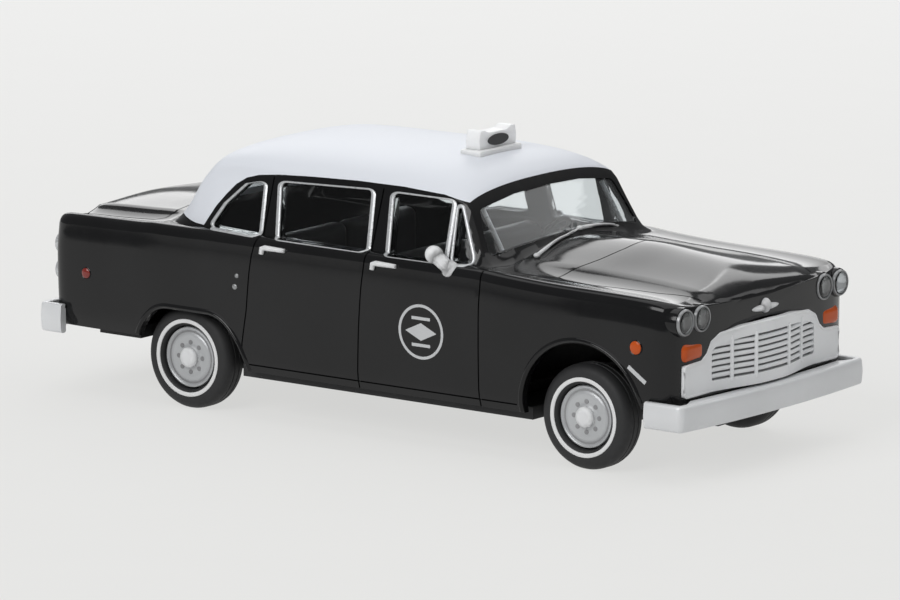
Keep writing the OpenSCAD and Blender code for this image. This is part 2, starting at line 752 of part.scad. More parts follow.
// Round side marker, grown by grow
module marker_block(side, place, grow, depth) {
  translate([place[0], side * (half_width + marker_out), place[1]])
    rotate([side * 90, 0, 0])
      cylinder(r = marker_radius + grow, h = depth);
}

module front_marker_left() {
  color([0.95, 0.45, 0.1])
    marker_block(1, FRONT_MARKER, 0, marker_depth);
}

module front_marker_right() {
  color([0.95, 0.45, 0.1])
    marker_block(-1, FRONT_MARKER, 0, marker_depth);
}

module rear_marker_left() {
  color([0.6, 0.08, 0.06])
    marker_block(1, REAR_MARKER, 0, marker_depth);
}

module rear_marker_right() {
  color([0.6, 0.08, 0.06])
    marker_block(-1, REAR_MARKER, 0, marker_depth);
}

module tail_lamps(side) {
  color([0.7, 0.05, 0.05])
    for (z = tail_lamp_zs)
      tail_place(side, z)
        cylinder(r = tail_lamp_radius, h = tail_lamp_length);
}

module tail_lamps_left() {
  tail_lamps(1);
}

module tail_lamps_right() {
  tail_lamps(-1);
}

// Door handles: short bars let into the doors below the windows
handle_shares = [-0.122, 0.0475]; // middle of each handle, of overall_length
handle_length = 2.1;
handle_height = 0.34;
handle_drop = 0.65; // below the belt line
handle_depth = 0.5;
handle_out = 0.08; // how far a handle stands out of the widest line
handle_z = belt_height - handle_drop;

module handle_block(side, share, grow) {
  width = handle_depth + grow;
  translate([share * overall_length - handle_length / 2 - grow,
             side > 0 ? half_width + handle_out - width : -half_width - handle_out,
             handle_z - handle_height / 2 - grow])
    cube([handle_length + 2 * grow, width, handle_height + 2 * grow]);
}

module door_handles(side) {
  color([0.78, 0.79, 0.8])
    for (share = handle_shares) handle_block(side, share, 0);
}

module door_handles_left() {
  door_handles(1);
}

module door_handles_right() {
  door_handles(-1);
}

// Mirror on the right: a foot let into the door's shoulder, an arm that leans back and out, and a round head
mirror_x_share = 0.1425;
mirror_inset = 0.85; // foot inside the body's widest line
mirror_drop = 0.25; // foot below the belt line
mirror_foot_radius = 0.5;
mirror_foot_depth = 0.5;
mirror_arm = 1.3;
mirror_lean = 52; // of the arm, away from upright
mirror_swing = 26; // of the arm, out of straight back
mirror_head_radius = 0.68;
mirror_head_wall = 0.6;

// The local +Z axis runs along the arm, local zero lies at the shoulder
module mirror_place() {
  translate([mirror_x_share * overall_length, mirror_inset - half_width, belt_height - mirror_drop])
    rotate([0, mirror_lean, 180 + mirror_swing])
      children();
}

module mirror_foot(grow) {
  mirror_place()
    translate([0, 0, -mirror_foot_depth - grow])
      cylinder(r = mirror_foot_radius + grow, h = mirror_foot_depth + mirror_arm);
}

module mirror_right() {
  color([0.8, 0.81, 0.82])
    union() {
      mirror_foot(0);
      mirror_place()
        translate([0, 0, mirror_arm])
          rotate([90, 0, 0])
            cylinder(r = mirror_head_radius, h = mirror_head_wall, center = true);
    }
}

// Plain bright stud on the front of the hood
stud_drop = 2.35; // below the belt line
stud_width = 3.2;
stud_height = 0.4;
stud_wall = 0.3;
stud_radius = 0.5;
nose_share = 0.4745;

module hood_stud() {
  color([0.8, 0.81, 0.82])
    translate([nose_share * overall_length + seat_clearance, 0, belt_height - stud_drop])
      rotate([0, 90, 0])
        union() {
          cylinder(r = stud_radius, h = stud_wall);
          translate([-stud_height / 2, -stud_width / 2, 0])
            cube([stud_height, stud_width, stud_wall]);
        }
}

// Roof sign: a base let into the roof and a narrower lamp box with a step at each end
sign_x_share = 0.069;
sign_sink = 0.48; // underside below the roof's crown
sign_depth = 1.8;
sign_base_height = 0.5;
sign_step = 0.35;
sign_box_depth = 1.3;
sign_ear_width = 0.5;
sign_ear_drop = 0.4;
sign_floor = roof_height - sign_sink;

module sign_base(grow) {
  translate([sign_x_share * overall_length - sign_depth / 2 - grow, -sign_width / 2 - grow,
             sign_floor - grow])
    cube([sign_depth + 2 * grow, sign_width + 2 * grow, sign_base_height + (grow > 0 ? overrun : 0)]);
}

module roof_sign() {
  box_width = sign_width - 2 * sign_step;
  color([0.85, 0.86, 0.87])
    union() {
      sign_base(0);
      translate([sign_x_share * overall_length - sign_box_depth / 2, -box_width / 2, sign_floor])
        difference() {
          cube([sign_box_depth, box_width, sign_height + sign_base_height]);
          translate([-overrun, sign_ear_width, sign_height + sign_base_height - sign_ear_drop])
            cube([sign_box_depth + 2 * overrun, box_width - 2 * sign_ear_width, sign_ear_drop + overrun]);
        }
    }
}

// Wheels: a steel pin, two pressed-on discs and two tyres on each axle
disc_width = 1.3;
disc_set = 0.15; // disc's outer face inside the tyre's
cap_radius = 0.75;
cap_rise = 0.25;
groove_radius = 1.75;
groove_width = 0.16;
groove_depth = 0.12;
pin_cover = 0.5; // depth of the disc's outer wall over the pin's end
tyre_edge = 0.45; // chamfer at the tread's edges
bead_edge = 0.25; // chamfer at the bead

module axle(x) {
  color([0.6, 0.61, 0.62])
    translate([x, 0, tyre_radius])
      rotate([90, 0, 0])
        cylinder(r = axle_radius, h = wheel_span - 2 * (disc_set + pin_cover + seat_clearance), center = true);
}

module front_axle() {
  axle(front_axle_x);
}

module rear_axle() {
  axle(rear_axle_x);
}

// Place of a wheel: the local +Z axis points out of the car, local zero lies in the tyre's outer face
module wheel_place(x, side) {
  translate([x, side * wheel_span / 2, tyre_radius])
    rotate([-side * 90, 0, 0])
      children();
}

module tyre(x, side) {
  bead = disc_radius + seat_clearance;
  color([0.05, 0.05, 0.055])
    wheel_place(x, side)
      rotate_extrude()
        polygon([
          [bead, -bead_edge], [bead + bead_edge, 0], [tyre_radius - tyre_edge, 0], [tyre_radius, -tyre_edge],
          [tyre_radius, tyre_edge - tyre_width], [tyre_radius - tyre_edge, -tyre_width],
          [bead + bead_edge, -tyre_width], [bead, bead_edge - tyre_width],
        ]);
}

module wheel_disc(x, side) {
  color([0.72, 0.73, 0.74])
    wheel_place(x, side)
      translate([0, 0, -disc_set])
        difference() {
          union() {
            translate([0, 0, -disc_width])
              cylinder(r = disc_radius, h = disc_width);
            cylinder(r = cap_radius, h = cap_rise);
          }
          difference() {
            translate([0, 0, -groove_depth])
              cylinder(r = groove_radius, h = groove_depth + overrun);
            translate([0, 0, -groove_depth - overrun])
              cylinder(r = groove_radius - groove_width, h = groove_depth + 3 * overrun);
          }
          translate([0, 0, -disc_width - overrun])
            cylinder(r = axle_radius + seat_clearance, h = disc_width + overrun - pin_cover);
        }
}

module tyre_front_left() {
  tyre(front_axle_x, 1);
}

module tyre_front_right() {
  tyre(front_axle_x, -1);
}

module tyre_rear_left() {
  tyre(rear_axle_x, 1);
}

module tyre_rear_right() {
  tyre(rear_axle_x, -1);
}

module wheel_disc_front_left() {
  wheel_disc(front_axle_x, 1);
}

module wheel_disc_front_right() {
  wheel_disc(front_axle_x, -1);
}

module wheel_disc_rear_left() {
  wheel_disc(rear_axle_x, 1);
}

module wheel_disc_rear_right() {
  wheel_disc(rear_axle_x, -1);
}

body_shell();
roof();
windscreen();
rear_window();
side_panes_left();
side_panes_right();
chassis();
exhaust();
interior();
steering_wheel();
front_bumper();
rear_bumper();
grille();
headlamp_bezels_left();
headlamp_bezels_right();
headlamp_lenses_left();
headlamp_lenses_right();
turn_signal_left();
turn_signal_right();
front_marker_left();
front_marker_right();
rear_marker_left();
rear_marker_right();
tail_lamps_left();
tail_lamps_right();
door_handles_left();
door_handles_right();
mirror_right();
hood_stud();
roof_sign();
front_axle();
rear_axle();
tyre_front_left();
tyre_front_right();
tyre_rear_left();
tyre_rear_right();
wheel_disc_front_left();
wheel_disc_front_right();
wheel_disc_rear_left();
wheel_disc_rear_right();
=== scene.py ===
import functools
import json
import math

import bmesh
import bpy
import numpy as np
from mathutils import Euler, Matrix, Vector


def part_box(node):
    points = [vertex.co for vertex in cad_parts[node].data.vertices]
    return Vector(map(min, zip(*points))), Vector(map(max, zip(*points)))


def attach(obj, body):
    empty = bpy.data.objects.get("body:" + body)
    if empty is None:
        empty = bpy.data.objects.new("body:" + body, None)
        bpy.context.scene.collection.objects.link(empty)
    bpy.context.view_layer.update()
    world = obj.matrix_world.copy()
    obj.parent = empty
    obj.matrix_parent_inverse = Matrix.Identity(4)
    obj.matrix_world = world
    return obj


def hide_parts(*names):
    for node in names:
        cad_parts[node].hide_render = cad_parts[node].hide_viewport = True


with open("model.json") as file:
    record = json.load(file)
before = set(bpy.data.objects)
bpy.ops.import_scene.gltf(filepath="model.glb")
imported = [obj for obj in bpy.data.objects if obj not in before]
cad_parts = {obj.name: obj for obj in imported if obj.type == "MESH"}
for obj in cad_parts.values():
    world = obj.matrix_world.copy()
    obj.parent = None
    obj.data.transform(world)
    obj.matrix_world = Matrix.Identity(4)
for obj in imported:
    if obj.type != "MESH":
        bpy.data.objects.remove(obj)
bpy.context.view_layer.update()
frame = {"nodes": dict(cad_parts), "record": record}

# Scale model of a 1960s taxi sedan. Lengths in this script are in millimetres, in the CAD frame:
# +X forward, +Y to the car's left, +Z up, the ground at z = 0.
MM = 0.001
JOINTS = {joint["name"]: joint for joint in frame["record"]["behaviour"]["joints"]}
SIDES = ((1, "left"), (-1, "right"))


def node_box(node):
    """Lowest and highest corner of a CAD node, in millimetres."""
    low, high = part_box(node)
    return low / MM, high / MM


# Driving sizes of the body
LENGTH = 58.2
HALF_WIDTH = 10.9
BELT = 13.3
ROOF = 19.6
SILL = 3.55
END_RISE = 1.45  # lower edges at the nose and tail above the sill
CABIN_RISE = ROOF - BELT
WALL = 0.6
AXLES = [JOINTS[name]["pos_m"] for name in ("front_axle_roll", "rear_axle_roll")]
FRONT_AXLE_X, REAR_AXLE_X = (place[0] / MM for place in AXLES)
AXLE_Z = AXLES[0][2] / MM

# The body's skin, one row per station from the tail to the nose, in the same columns as the CAD source:
# place along the length; half width; fender top, deck crown and deck valley depth as shares of BELT; lower
# edge above the sill as a share of END_RISE; window base and roof edge half widths; roof edge and roof crown
# above the belt line as shares of CABIN_RISE, -1 where there is no cabin; roundness of the roof's section.
SKIN_SHARES = [
    (-0.4765, 0.600, 0.930, 0.955, 0.010, 1.08, 0.40, 0.36, -1, -1, 1),
    (-0.4740, 0.885, 0.945, 0.970, 0.020, 0.99, 0.62, 0.58, -1, -1, 1),
    (-0.4680, 0.947, 0.968, 0.993, 0.030, 0.96, 0.68, 0.64, -1, -1, 1),
    (-0.452, 0.973, 0.982, 1.010, 0.036, 0.96, 0.70, 0.66, -1, -1, 1),
    (-0.378, 0.987, 0.990, 1.035, 0.036, 0.96, 0.71, 0.67, -1, -1, 1),
    (-0.333, 0.996, 0.995, 1.048, 0.030, 0.96, 0.72, 0.68, -1, -1, 1),
    (-0.318, 0.998, 1.000, 1.048, 0.022, 0.58, 0.75, 0.72, -0.038, 0.095, 1),
    (-0.290, 1.000, 1.000, 1.030, 0.010, 0.00, 0.82, 0.77, 0.096, 0.450, 1.5),
    (-0.262, 1.000, 1.000, 1.010, 0.000, 0.00, 0.86, 0.79, 0.373, 0.725, 2.6),
    (-0.233, 1.000, 1.003, 1.003, 0.000, 0.00, 0.88, 0.79, 0.600, 0.880, 3.6),
    (-0.189, 1.000, 1.003, 1.003, 0.000, 0.00, 0.89, 0.79, 0.650, 0.944, 3),
    (-0.137, 1.000, 1.003, 1.003, 0.000, 0.00, 0.90, 0.793, 0.668, 0.973, 2.4),
    (-0.069, 1.000, 1.003, 1.003, 0.000, 0.00, 0.905, 0.797, 0.684, 0.989, 2),
    (0.000, 1.000, 1.003, 1.003, 0.000, 0.00, 0.905, 0.798, 0.689, 1.000, 2),
    (0.069, 1.000, 1.002, 1.003, 0.000, 0.00, 0.905, 0.797, 0.674, 0.976, 2),
    (0.112, 1.000, 1.000, 1.010, 0.000, 0.00, 0.903, 0.793, 0.650, 0.913, 2),
    (0.144, 1.000, 0.999, 1.030, 0.002, 0.00, 0.898, 0.785, 0.608, 0.778, 1.6),
    (0.163, 0.999, 0.997, 1.050, 0.004, 0.00, 0.890, 0.808, 0.327, 0.513, 1.2),
    (0.182, 0.998, 0.995, 1.060, 0.006, 0.00, 0.880, 0.835, 0.037, 0.290, 1),
    (0.197, 0.997, 0.990, 1.068, 0.008, 0.00, 0.860, 0.835, -0.161, 0.138, 1),
    (0.213, 0.996, 0.984, 1.074, 0.010, 0.00, 0.840, 0.80, -1, -1, 1),
    (0.297, 0.993, 0.966, 1.082, 0.014, 0.00, 0.820, 0.78, -1, -1, 1),
    (0.361, 0.990, 0.961, 1.056, 0.014, 1.00, 0.810, 0.77, -1, -1, 1),
    (0.421, 0.985, 0.953, 1.012, 0.014, 1.00, 0.800, 0.76, -1, -1, 1),
    (0.450, 0.972, 0.942, 0.977, 0.012, 1.00, 0.790, 0.75, -1, -1, 1),
    (0.463, 0.925, 0.925, 0.950, 0.010, 1.00, 0.780, 0.74, -1, -1, 1),
    (0.4705, 0.790, 0.910, 0.925, 0.006, 1.00, 0.585, 0.555, -1, -1, 1),
    (0.4745, 0.420, 0.895, 0.905, 0.003, 1.00, 0.240, 0.220, -1, -1, 1),
]
STATIONS = np.array([row[0] * LENGTH for row in SKIN_SHARES])
SHOULDER = 0.75  # rounding where the side turns into the fender top
SILL_TUCK, SILL_RISE, SILL_LEAN, SIDE_LEAN = 0.45, 1.1, 0.14, 0.2
WIDEST_SHARE, DECK_SLOPE, VALLEY_SHARE, ROOF_EXPONENT = 0.7, 0.85, 0.8, 2.4
# Points of half a section: up the side, then over the shoulder, the deck, the window and the roof's crown
SIDE_POINTS, SHOULDER_STEPS, DECK_STEPS, WINDOW_STEPS, CROWN_STEPS = 15, 8, 4, 8, 22

# Outlines that cut the skin: shares of LENGTH or HALF_WIDTH and, above the belt line, of CABIN_RISE
ROOF_OUTLINE_SHARES = [
    (-0.335, 0.109), (-0.318, 0.109), (-0.290, 0.071), (-0.262, 0.028), (-0.247, 0.022), (-0.231, 0.254),
    (-0.218, 0.394), (-0.205, 0.516), (-0.190, 0.601), (-0.172, 0.647), (-0.140, 0.681), (-0.090, 0.708),
    (-0.020, 0.730), (0.050, 0.730), (0.110, 0.699), (0.1445, 0.638), (0.1445, 1.241), (-0.335, 1.241),
]
SIDE_WINDOW_SHARES = {
    "quarter": [(-0.234, 0.016), (-0.157, -0.002), (-0.162, 0.585), (-0.186, 0.534), (-0.214, 0.297)],
    "rear_door": [(-0.124, -0.008), (0.009, -0.014), (0.003, 0.647), (-0.134, 0.601)],
    "front_door": [(0.045, -0.021), (0.125, -0.021), (0.123, 0.644), (0.038, 0.650)],
    "vent": [(0.1385, -0.008), (0.167, -0.002), (0.1375, 0.575), (0.1335, 0.575)],
}
WINDSCREEN_SHARES = [
    (0.800, 0.059), (0.560, 0.129), (0.280, 0.169), (0, 0.181), (-0.280, 0.169), (-0.560, 0.129),
    (-0.800, 0.059), (-0.770, 0.297), (-0.720, 0.540), (-0.690, 0.570), (-0.350, 0.647), (0, 0.665),
    (0.350, 0.647), (0.690, 0.570), (0.720, 0.540), (0.770, 0.297),
]
REAR_WINDOW_SHARES = [
    (0.640, 0.150), (0.320, 0.174), (0, 0.186), (-0.320, 0.174), (-0.640, 0.150), (-0.690, 0.236),
    (-0.640, 0.479), (-0.560, 0.570), (0, 0.632), (0.560, 0.570), (0.640, 0.479), (0.690, 0.236),
]
WINDSCREEN_SPAN_SHARES, REAR_WINDOW_SPAN_SHARES = (0.100, 0.213), (-0.345, -0.180)  # of LENGTH


def seen_from_side(shares):
    return [(x * LENGTH, BELT + z * CABIN_RISE) for x, z in shares]


def seen_from_end(shares):
    return [(y * HALF_WIDTH, BELT + z * CABIN_RISE) for y, z in shares]


# Smooth curves, sections and the skin

def smooth_through(xs, values, at):
    """Monotone cubic through rows of values at xs, read at the places in at."""
    xs, values, at = np.asarray(xs, float), np.asarray(values, float), np.asarray(at, float)
    step = np.diff(xs)[:, None]
    slope = np.diff(values, axis=0) / step
    left, right = slope[:-1], slope[1:]
    w1, w2 = 2 * step[1:] + step[:-1], step[1:] + 2 * step[:-1]
    same = left * right > 0
    safe_left, safe_right = np.where(same, left, 1.0), np.where(same, right, 1.0)
    inner = np.where(same, (w1 + w2) / (w1 / safe_left + w2 / safe_right), 0.0)
    tangent = np.vstack([slope[:1], inner, slope[-1:]])
    i = np.clip(np.searchsorted(xs, at) - 1, 0, len(xs) - 2)
    h = (xs[i + 1] - xs[i])[:, None]
    t = (at - xs[i])[:, None] / h
    return (
        (2 * t**3 - 3 * t**2 + 1) * values[i] + (t**3 - 2 * t**2 + t) * h * tangent[i]
        + (3 * t**2 - 2 * t**3) * values[i + 1] + (t**3 - t**2) * h * tangent[i + 1]
    )


def half_section(row, inset, drop=0.0):
    """Half of a cross section as (y, z) points from the lower edge over the side to the middle of the top."""
    _, side, fender, deck, valley, floor, base, edge, drip, crown, roundness = row
    half = side * HALF_WIDTH - inset
    floor_z, top, peak = SILL + floor * END_RISE, fender * BELT - inset, deck * BELT - inset
    reach = half - SIDE_LEAN - SHOULDER
    base = min(base * HALF_WIDTH - inset, reach)
    edge = min(edge * HALF_WIDTH - inset, base)
    drip, crown = (BELT + share * CABIN_RISE - inset for share in (drip, crown))

    def deck_z(y):
        t = min(1.0, y / reach)
        fall = (1 - math.cos(math.pi * t**DECK_SLOPE)) / 2
        dip = max(0.0, 1 - ((t - VALLEY_SHARE) / (1 - VALLEY_SHARE)) ** 2)
        return peak + (top - peak) * fall - valley * BELT * dip

    low = deck_z(base)

    def cabin_z(y):
        if y >= base:
            return 0
        if y > edge:
            return low + (drip - low) * (base - y) / (base - edge)
        return drip + (crown - drip) * (1 - (y / edge) ** ROOF_EXPONENT) ** (1 / roundness)

    knots_z = [floor_z, floor_z + SILL_RISE, floor_z + WIDEST_SHARE * (top - floor_z), top - SHOULDER]
    knots_y = [[half - SILL_TUCK], [half - SILL_LEAN], [half], [half - SIDE_LEAN]]
    side_z = np.linspace(knots_z[0], knots_z[-1], SIDE_POINTS)
    side_y = smooth_through(knots_z, knots_y, side_z)[:, 0]
    points = list(zip(side_y, side_z))
    points[0] = (points[0][0], floor_z - drop)
    for i in range(1, SHOULDER_STEPS + 1):
        turn = math.pi / 2 * i / SHOULDER_STEPS
        points.append((reach + SHOULDER * math.cos(turn), top - SHOULDER + SHOULDER * math.sin(turn)))
    places = [reach + (base - reach) * i / DECK_STEPS for i in range(1, DECK_STEPS + 1)]
    places += [base + (edge - base) * i / WINDOW_STEPS for i in range(1, WINDOW_STEPS + 1)]
    places += [edge * math.cos(math.pi / 2 * i / CROWN_STEPS) for i in range(1, CROWN_STEPS)] + [0.0]
    points += [(y, max(deck_z(y), cabin_z(y))) for y in places]
    return points


@functools.lru_cache(None)
def section_table(inset, drop):
    """Half sections at all stations, one flat row each."""
    rows = [half_section(row, inset, drop) for row in SKIN_SHARES]
    return np.array(rows).reshape(len(SKIN_SHARES), -1)


def skin_halves(xs, inset=0.0, drop=0.0):
    """Half sections of the skin at the places xs, each a row of (y, z) points."""
    return smooth_through(STATIONS, section_table(inset, drop), xs).reshape(len(xs), -1, 2)


def along(first, last, step):
    """Places from first to last, a few in every stretch between stations and no further apart than step."""
    stops = [first] + [x for x in STATIONS if first < x < last] + [last]
    places = [first]
    for a, b in zip(stops, stops[1:]):
        count = max(2, math.ceil((b - a) / step))
        places += [a + (b - a) * i / count for i in range(1, count + 1)]
    return np.array(places)


def skin_solid(first, last, step, inset=0.0, drop=0.0):
    """Closed solid of the skin between two places along the car: vertices and faces."""
    xs = along(first, last, step)
    verts, faces = [], []
    for x, half in zip(xs, skin_halves(xs, inset, drop)):
        verts += [(x, y, z) for y, z in half] + [(x, -y, z) for y, z in half[-2::-1]]
    n = len(verts) // len(xs)
    for i in range(len(xs) - 1):
        for k in range(n):
            a, b = i * n + k, i * n + (k + 1) % n
            faces.append((a, b, b + n, a + n))
    faces.append(tuple(range(n)))
    faces.append(tuple(range((len(xs) - 1) * n, len(xs) * n)))
    return verts, faces


def on_side(x, z, lift=0.0):
    """Point of the left-hand skin at a place along the car and a height, lifted off the surface."""
    half = skin_halves([x])[0]
    for (y1, z1), (y2, z2) in zip(half, half[1:]):
        if z1 <= z <= z2 and z2 > z1:
            t = (z - z1) / (z2 - z1)
            normal = Vector((0, z2 - z1, y1 - y2)).normalized()
            return Vector((x, y1 + (y2 - y1) * t, z)) + normal * lift
    raise ValueError(f"the skin has no height {z} at {x}")


EDGE_MARGIN = 0.02  # what lies on the side keeps this far above the body's lower edge


def on_body(x, z):
    """Whether the side of the body reaches down to this height there."""
    return z > skin_halves([x])[0][0][1] + EDGE_MARGIN


def on_deck(x, y, lift=0.0):
    """Point on top of the skin at a place along the car and a half width, lifted straight up."""
    half = skin_halves([x])[0]
    for (y1, z1), (y2, z2) in zip(half[::-1], half[-2::-1]):
        if y1 <= abs(y) <= y2:
            t = (abs(y) - y1) / max(y2 - y1, 1e-9)
            return Vector((x, y, z1 + (z2 - z1) * t + lift))
    raise ValueError(f"the skin has no half width {y} at {x}")


# Outlines

SHARPEST, CORNER_SHARE = 0.05, 0.45  # least tangent at a corner, and how much of an edge its rounding takes
MITRE_LIMIT = 0.4


def around(count):
    """Angles of points evenly round a circle."""
    return np.linspace(0, 2 * math.pi, count, endpoint=False)


def on_circle(centre, radius, turns):
    return [(centre[0] + radius * math.cos(t), centre[1] + radius * math.sin(t)) for t in turns]


def dome(radius, base, height, count):
    """Profile of a dome for lathe, from its edge to its middle."""
    return [(radius * math.sin(t), base + height * math.cos(t)) for t in np.linspace(math.pi / 2, 0, count)]


def bend(start, corner, end, steps):
    """Points of a curve from start to end that is drawn towards a corner."""
    shares = [k / steps for k in range(steps + 1)]
    return [tuple(start * (1 - t) ** 2 + corner * 2 * t * (1 - t) + end * t**2) for t in shares]


def corners(points):
    """Each corner of a closed outline, with the one before and the one after it."""
    for i, corner in enumerate(points):
        yield Vector(corner), Vector(points[i - 1]), Vector(points[(i + 1) % len(points)])


def outward(points):
    """1 where an outline's outside is to the right of its run, -1 where it is to the left."""
    area = sum(a[0] * b[1] - b[0] * a[1] for a, b in zip(points, points[1:] + points[:1]))
    return 1 if area > 0 else -1


def rounded(points, radius, steps=5):
    """Outline with its corners rounded."""
    out = []
    for p, before, after in corners(points):
        u, v = before - p, after - p
        wanted = radius / max(math.tan(u.angle(v) / 2), SHARPEST)
        reach = min(wanted, CORNER_SHARE * u.length, CORNER_SHARE * v.length)
        out += bend(p + u.normalized() * reach, p, p + v.normalized() * reach, steps)
    return out


def grown(points, width):
    """Closed outline moved outwards by width, away from its middle."""
    sign = outward(points)
    out = []
    for p, before, after in corners(points):
        d1, d2 = (p - before).normalized(), (after - p).normalized()
        n1, n2 = Vector((d1.y, -d1.x)) * sign, Vector((d2.y, -d2.x)) * sign
        n = (n1 + n2).normalized() if (n1 + n2).length > 1e-6 else n1
        out.append(tuple(p + n * width / max(n.dot(n1), MITRE_LIMIT)))
    return out


def framed(points, post, top, bottom):
    """Closed outline moved outwards, by other widths at its upright, upper and lower edges."""
    sign = outward(points)
    out = []
    for p, before, after in corners(points):
        run = (after - before).normalized()
        n = Vector((run.y, -run.x)) * sign
        out.append((p.x + n.x * post, p.y + n.y * (top if n.y > 0 else bottom)))
    return out


def ribbon(points, width):
    """Outline of a line of the given width along open points."""
    left, right = [], []
    for i, p in enumerate(points):
        a, b = Vector(points[max(i - 1, 0)]), Vector(points[min(i + 1, len(points) - 1)])
        d = (b - a).normalized()
        n = Vector((-d.y, d.x)) * width / 2
        left.append(tuple(Vector(p) + n))
        right.append(tuple(Vector(p) - n))
    return left + right[::-1]


def both_halves(half, middle=(), mirrored=1):
    """Outline of a half, points on the middle line and the half mirrored in one of its coordinates."""
    image = [(-a, b) if mirrored == 0 else (a, -b) for a, b in half[::-1]]
    return [*half, *middle, *image]


# Solids

def prism(outline, axis, low, high):
    """Solid from an outline pushed along an axis; the outline lies in the two others, in X, Y, Z order."""
    place = {
        "x": lambda p, d: (d, p[0], p[1]),
        "y": lambda p, d: (p[0], d, p[1]),
        "z": lambda p, d: (p[0], p[1], d),
    }[axis]
    n = len(outline)
    verts = [place(p, low) for p in outline] + [place(p, high) for p in outline]
    faces = [(i, (i + 1) % n, (i + 1) % n + n, i + n) for i in range(n)]
    return verts, faces + [tuple(range(n)), tuple(range(n, 2 * n))]


def lathe(profile, centre, axis, side, segments=96):
    """Solid turned about the X or Y axis: the profile's points are (radius, distance outwards along side)."""
    verts, faces = [], []
    n = len(profile)
    cx, cy, cz = centre
    for s in range(segments):
        u, v = math.cos(2 * math.pi * s / segments), math.sin(2 * math.pi * s / segments)
        for r, out in profile:
            if axis == "y":
                verts.append((cx + r * u, cy + side * out, cz + r * v))
            else:
                verts.append((cx + side * out, cy + r * u, cz + r * v))
    for s in range(segments):
        for k in range(n):
            a, b = s * n + k, s * n + (k + 1) % n
            c, d = (s + 1) % segments * n + (k + 1) % n, (s + 1) % segments * n + k
            faces.append((a, b, c, d))
    return verts, faces


def strung(rings, closed=False):
    """Solid through rings of points of equal count, closed into a loop or capped at its ends."""
    n, count = len(rings[0]), len(rings)
    verts = [tuple(p) for ring in rings for p in ring]
    faces = []
    for i in range(count if closed else count - 1):
        j = (i + 1) % count
        faces += [(i * n + k, i * n + (k + 1) % n, j * n + (k + 1) % n, j * n + k) for k in range(n)]
    if not closed:
        faces += [tuple(range(n)), tuple(range((count - 1) * n, count * n))]
    return verts, faces


def rod(points, radius, flat=1.0, sides=10, closed=False):
    """Round or flattened rod along points in space; radius is one number or one per point."""
    points = [Vector(p) for p in points]
    radii = radius if isinstance(radius, (list, tuple)) else [radius] * len(points)
    rings = []
    for i, p in enumerate(points):
        before = points[i - 1] if i or closed else p
        after = points[(i + 1) % len(points)] if closed or i + 1 < len(points) else p
        run = (after - before).normalized()
        across = run.cross(Vector((0, 0, 1)))
        across = across.normalized() if across.length > 1e-4 else Vector((0, 1, 0))
        up = across.cross(run).normalized()
        rings.append([
            p + across * radii[i] * math.cos(t) + up * radii[i] * flat * math.sin(t) for t in around(sides)
        ])
    return strung(rings, closed)


def egg(centre, radii, turn=(0, 0, 0), steps=24):
    """Ellipsoid, turned by angles in degrees about X, Y and Z."""
    turned = Euler([math.radians(t) for t in turn]).to_matrix()
    rings = []
    for i in range(1, steps):
        lat = math.pi * i / steps - math.pi / 2
        wide_x, wide_y, up = radii[0] * math.cos(lat), radii[1] * math.cos(lat), radii[2] * math.sin(lat)
        rings.append([
            Vector(centre) + turned @ Vector((wide_x * math.cos(t), wide_y * math.sin(t), up))
            for t in around(2 * steps)
        ])
    return strung(rings)


def laid_on_side(inner, outer, side, profile, closed=True):
    """Band on the body's side between two outlines of equal count; profile is (share across, lift)."""
    rings = []
    for a, b in zip(inner, outer):
        ring = [on_side(a[0] + (b[0] - a[0]) * s, a[1] + (b[1] - a[1]) * s, lift) for s, lift in profile]
        rings.append([(p.x, side * p.y, p.z) for p in ring])
    return strung(rings, closed)


def joined(*solids):
    """Several solids as one list of vertices and faces."""
    verts, faces = [], []
    for v, f in solids:
        shift = len(verts)
        verts += list(v)
        faces += [tuple(i + shift for i in face) for face in f]
    return verts, faces


def block(low, high, radius, segments=3):
    """Box with rounded edges."""
    bm = bmesh.new()
    bmesh.ops.create_cube(bm, size=1)
    low, high = Vector(low), Vector(high)
    for v in bm.verts:
        v.co = Vector((low[i] + (v.co[i] + 0.5) * (high[i] - low[i]) for i in range(3)))
    bmesh.ops.bevel(bm, geom=bm.edges[:], offset=radius, segments=segments, profile=0.5, affect="EDGES")
    bm.verts.index_update()
    out = [tuple(v.co) for v in bm.verts], [tuple(v.index for v in f.verts) for f in bm.faces]
    bm.free()
    return out


# Pieces

MERGE = 1e-7  # points closer than this, in metres, become one


def loose_object(name, solid):
    """Object from a solid in millimetres, with its faces turned outwards."""
    verts, faces = solid
    mesh = bpy.data.meshes.new(name)
    mesh.from_pydata([tuple(c * MM for c in v) for v in verts], [], faces)
    bm = bmesh.new()
    bm.from_mesh(mesh)
    bmesh.ops.remove_doubles(bm, verts=bm.verts, dist=MERGE)
    bmesh.ops.recalc_face_normals(bm, faces=bm.faces)
    bm.to_mesh(mesh)
    bm.free()
    obj = bpy.data.objects.new(name, mesh)
    bpy.context.scene.collection.objects.link(obj)
    return obj


def combine(target, solid, operation):
    """Cut target with a solid, join it or keep the common part; the result is a plain mesh."""
    tool = solid if isinstance(solid, bpy.types.Object) else loose_object("tool", solid)
    modifier = target.modifiers.new("cut", "BOOLEAN")
    modifier.operation = operation
    modifier.solver = "EXACT"
    modifier.object = tool
    graph = bpy.context.evaluated_depsgraph_get()
    mesh = bpy.data.meshes.new_from_object(target.evaluated_get(graph))
    target.modifiers.remove(modifier)
    bm = bmesh.new()
    bm.from_mesh(mesh)
    bmesh.ops.dissolve_degenerate(bm, dist=MERGE, edges=bm.edges)
    bmesh.ops.remove_doubles(bm, verts=bm.verts, dist=MERGE)
    bm.to_mesh(mesh)
    bm.free()
    old, target.data = target.data, mesh
    bpy.data.meshes.remove(old)
    bpy.data.objects.remove(tool)
    return target


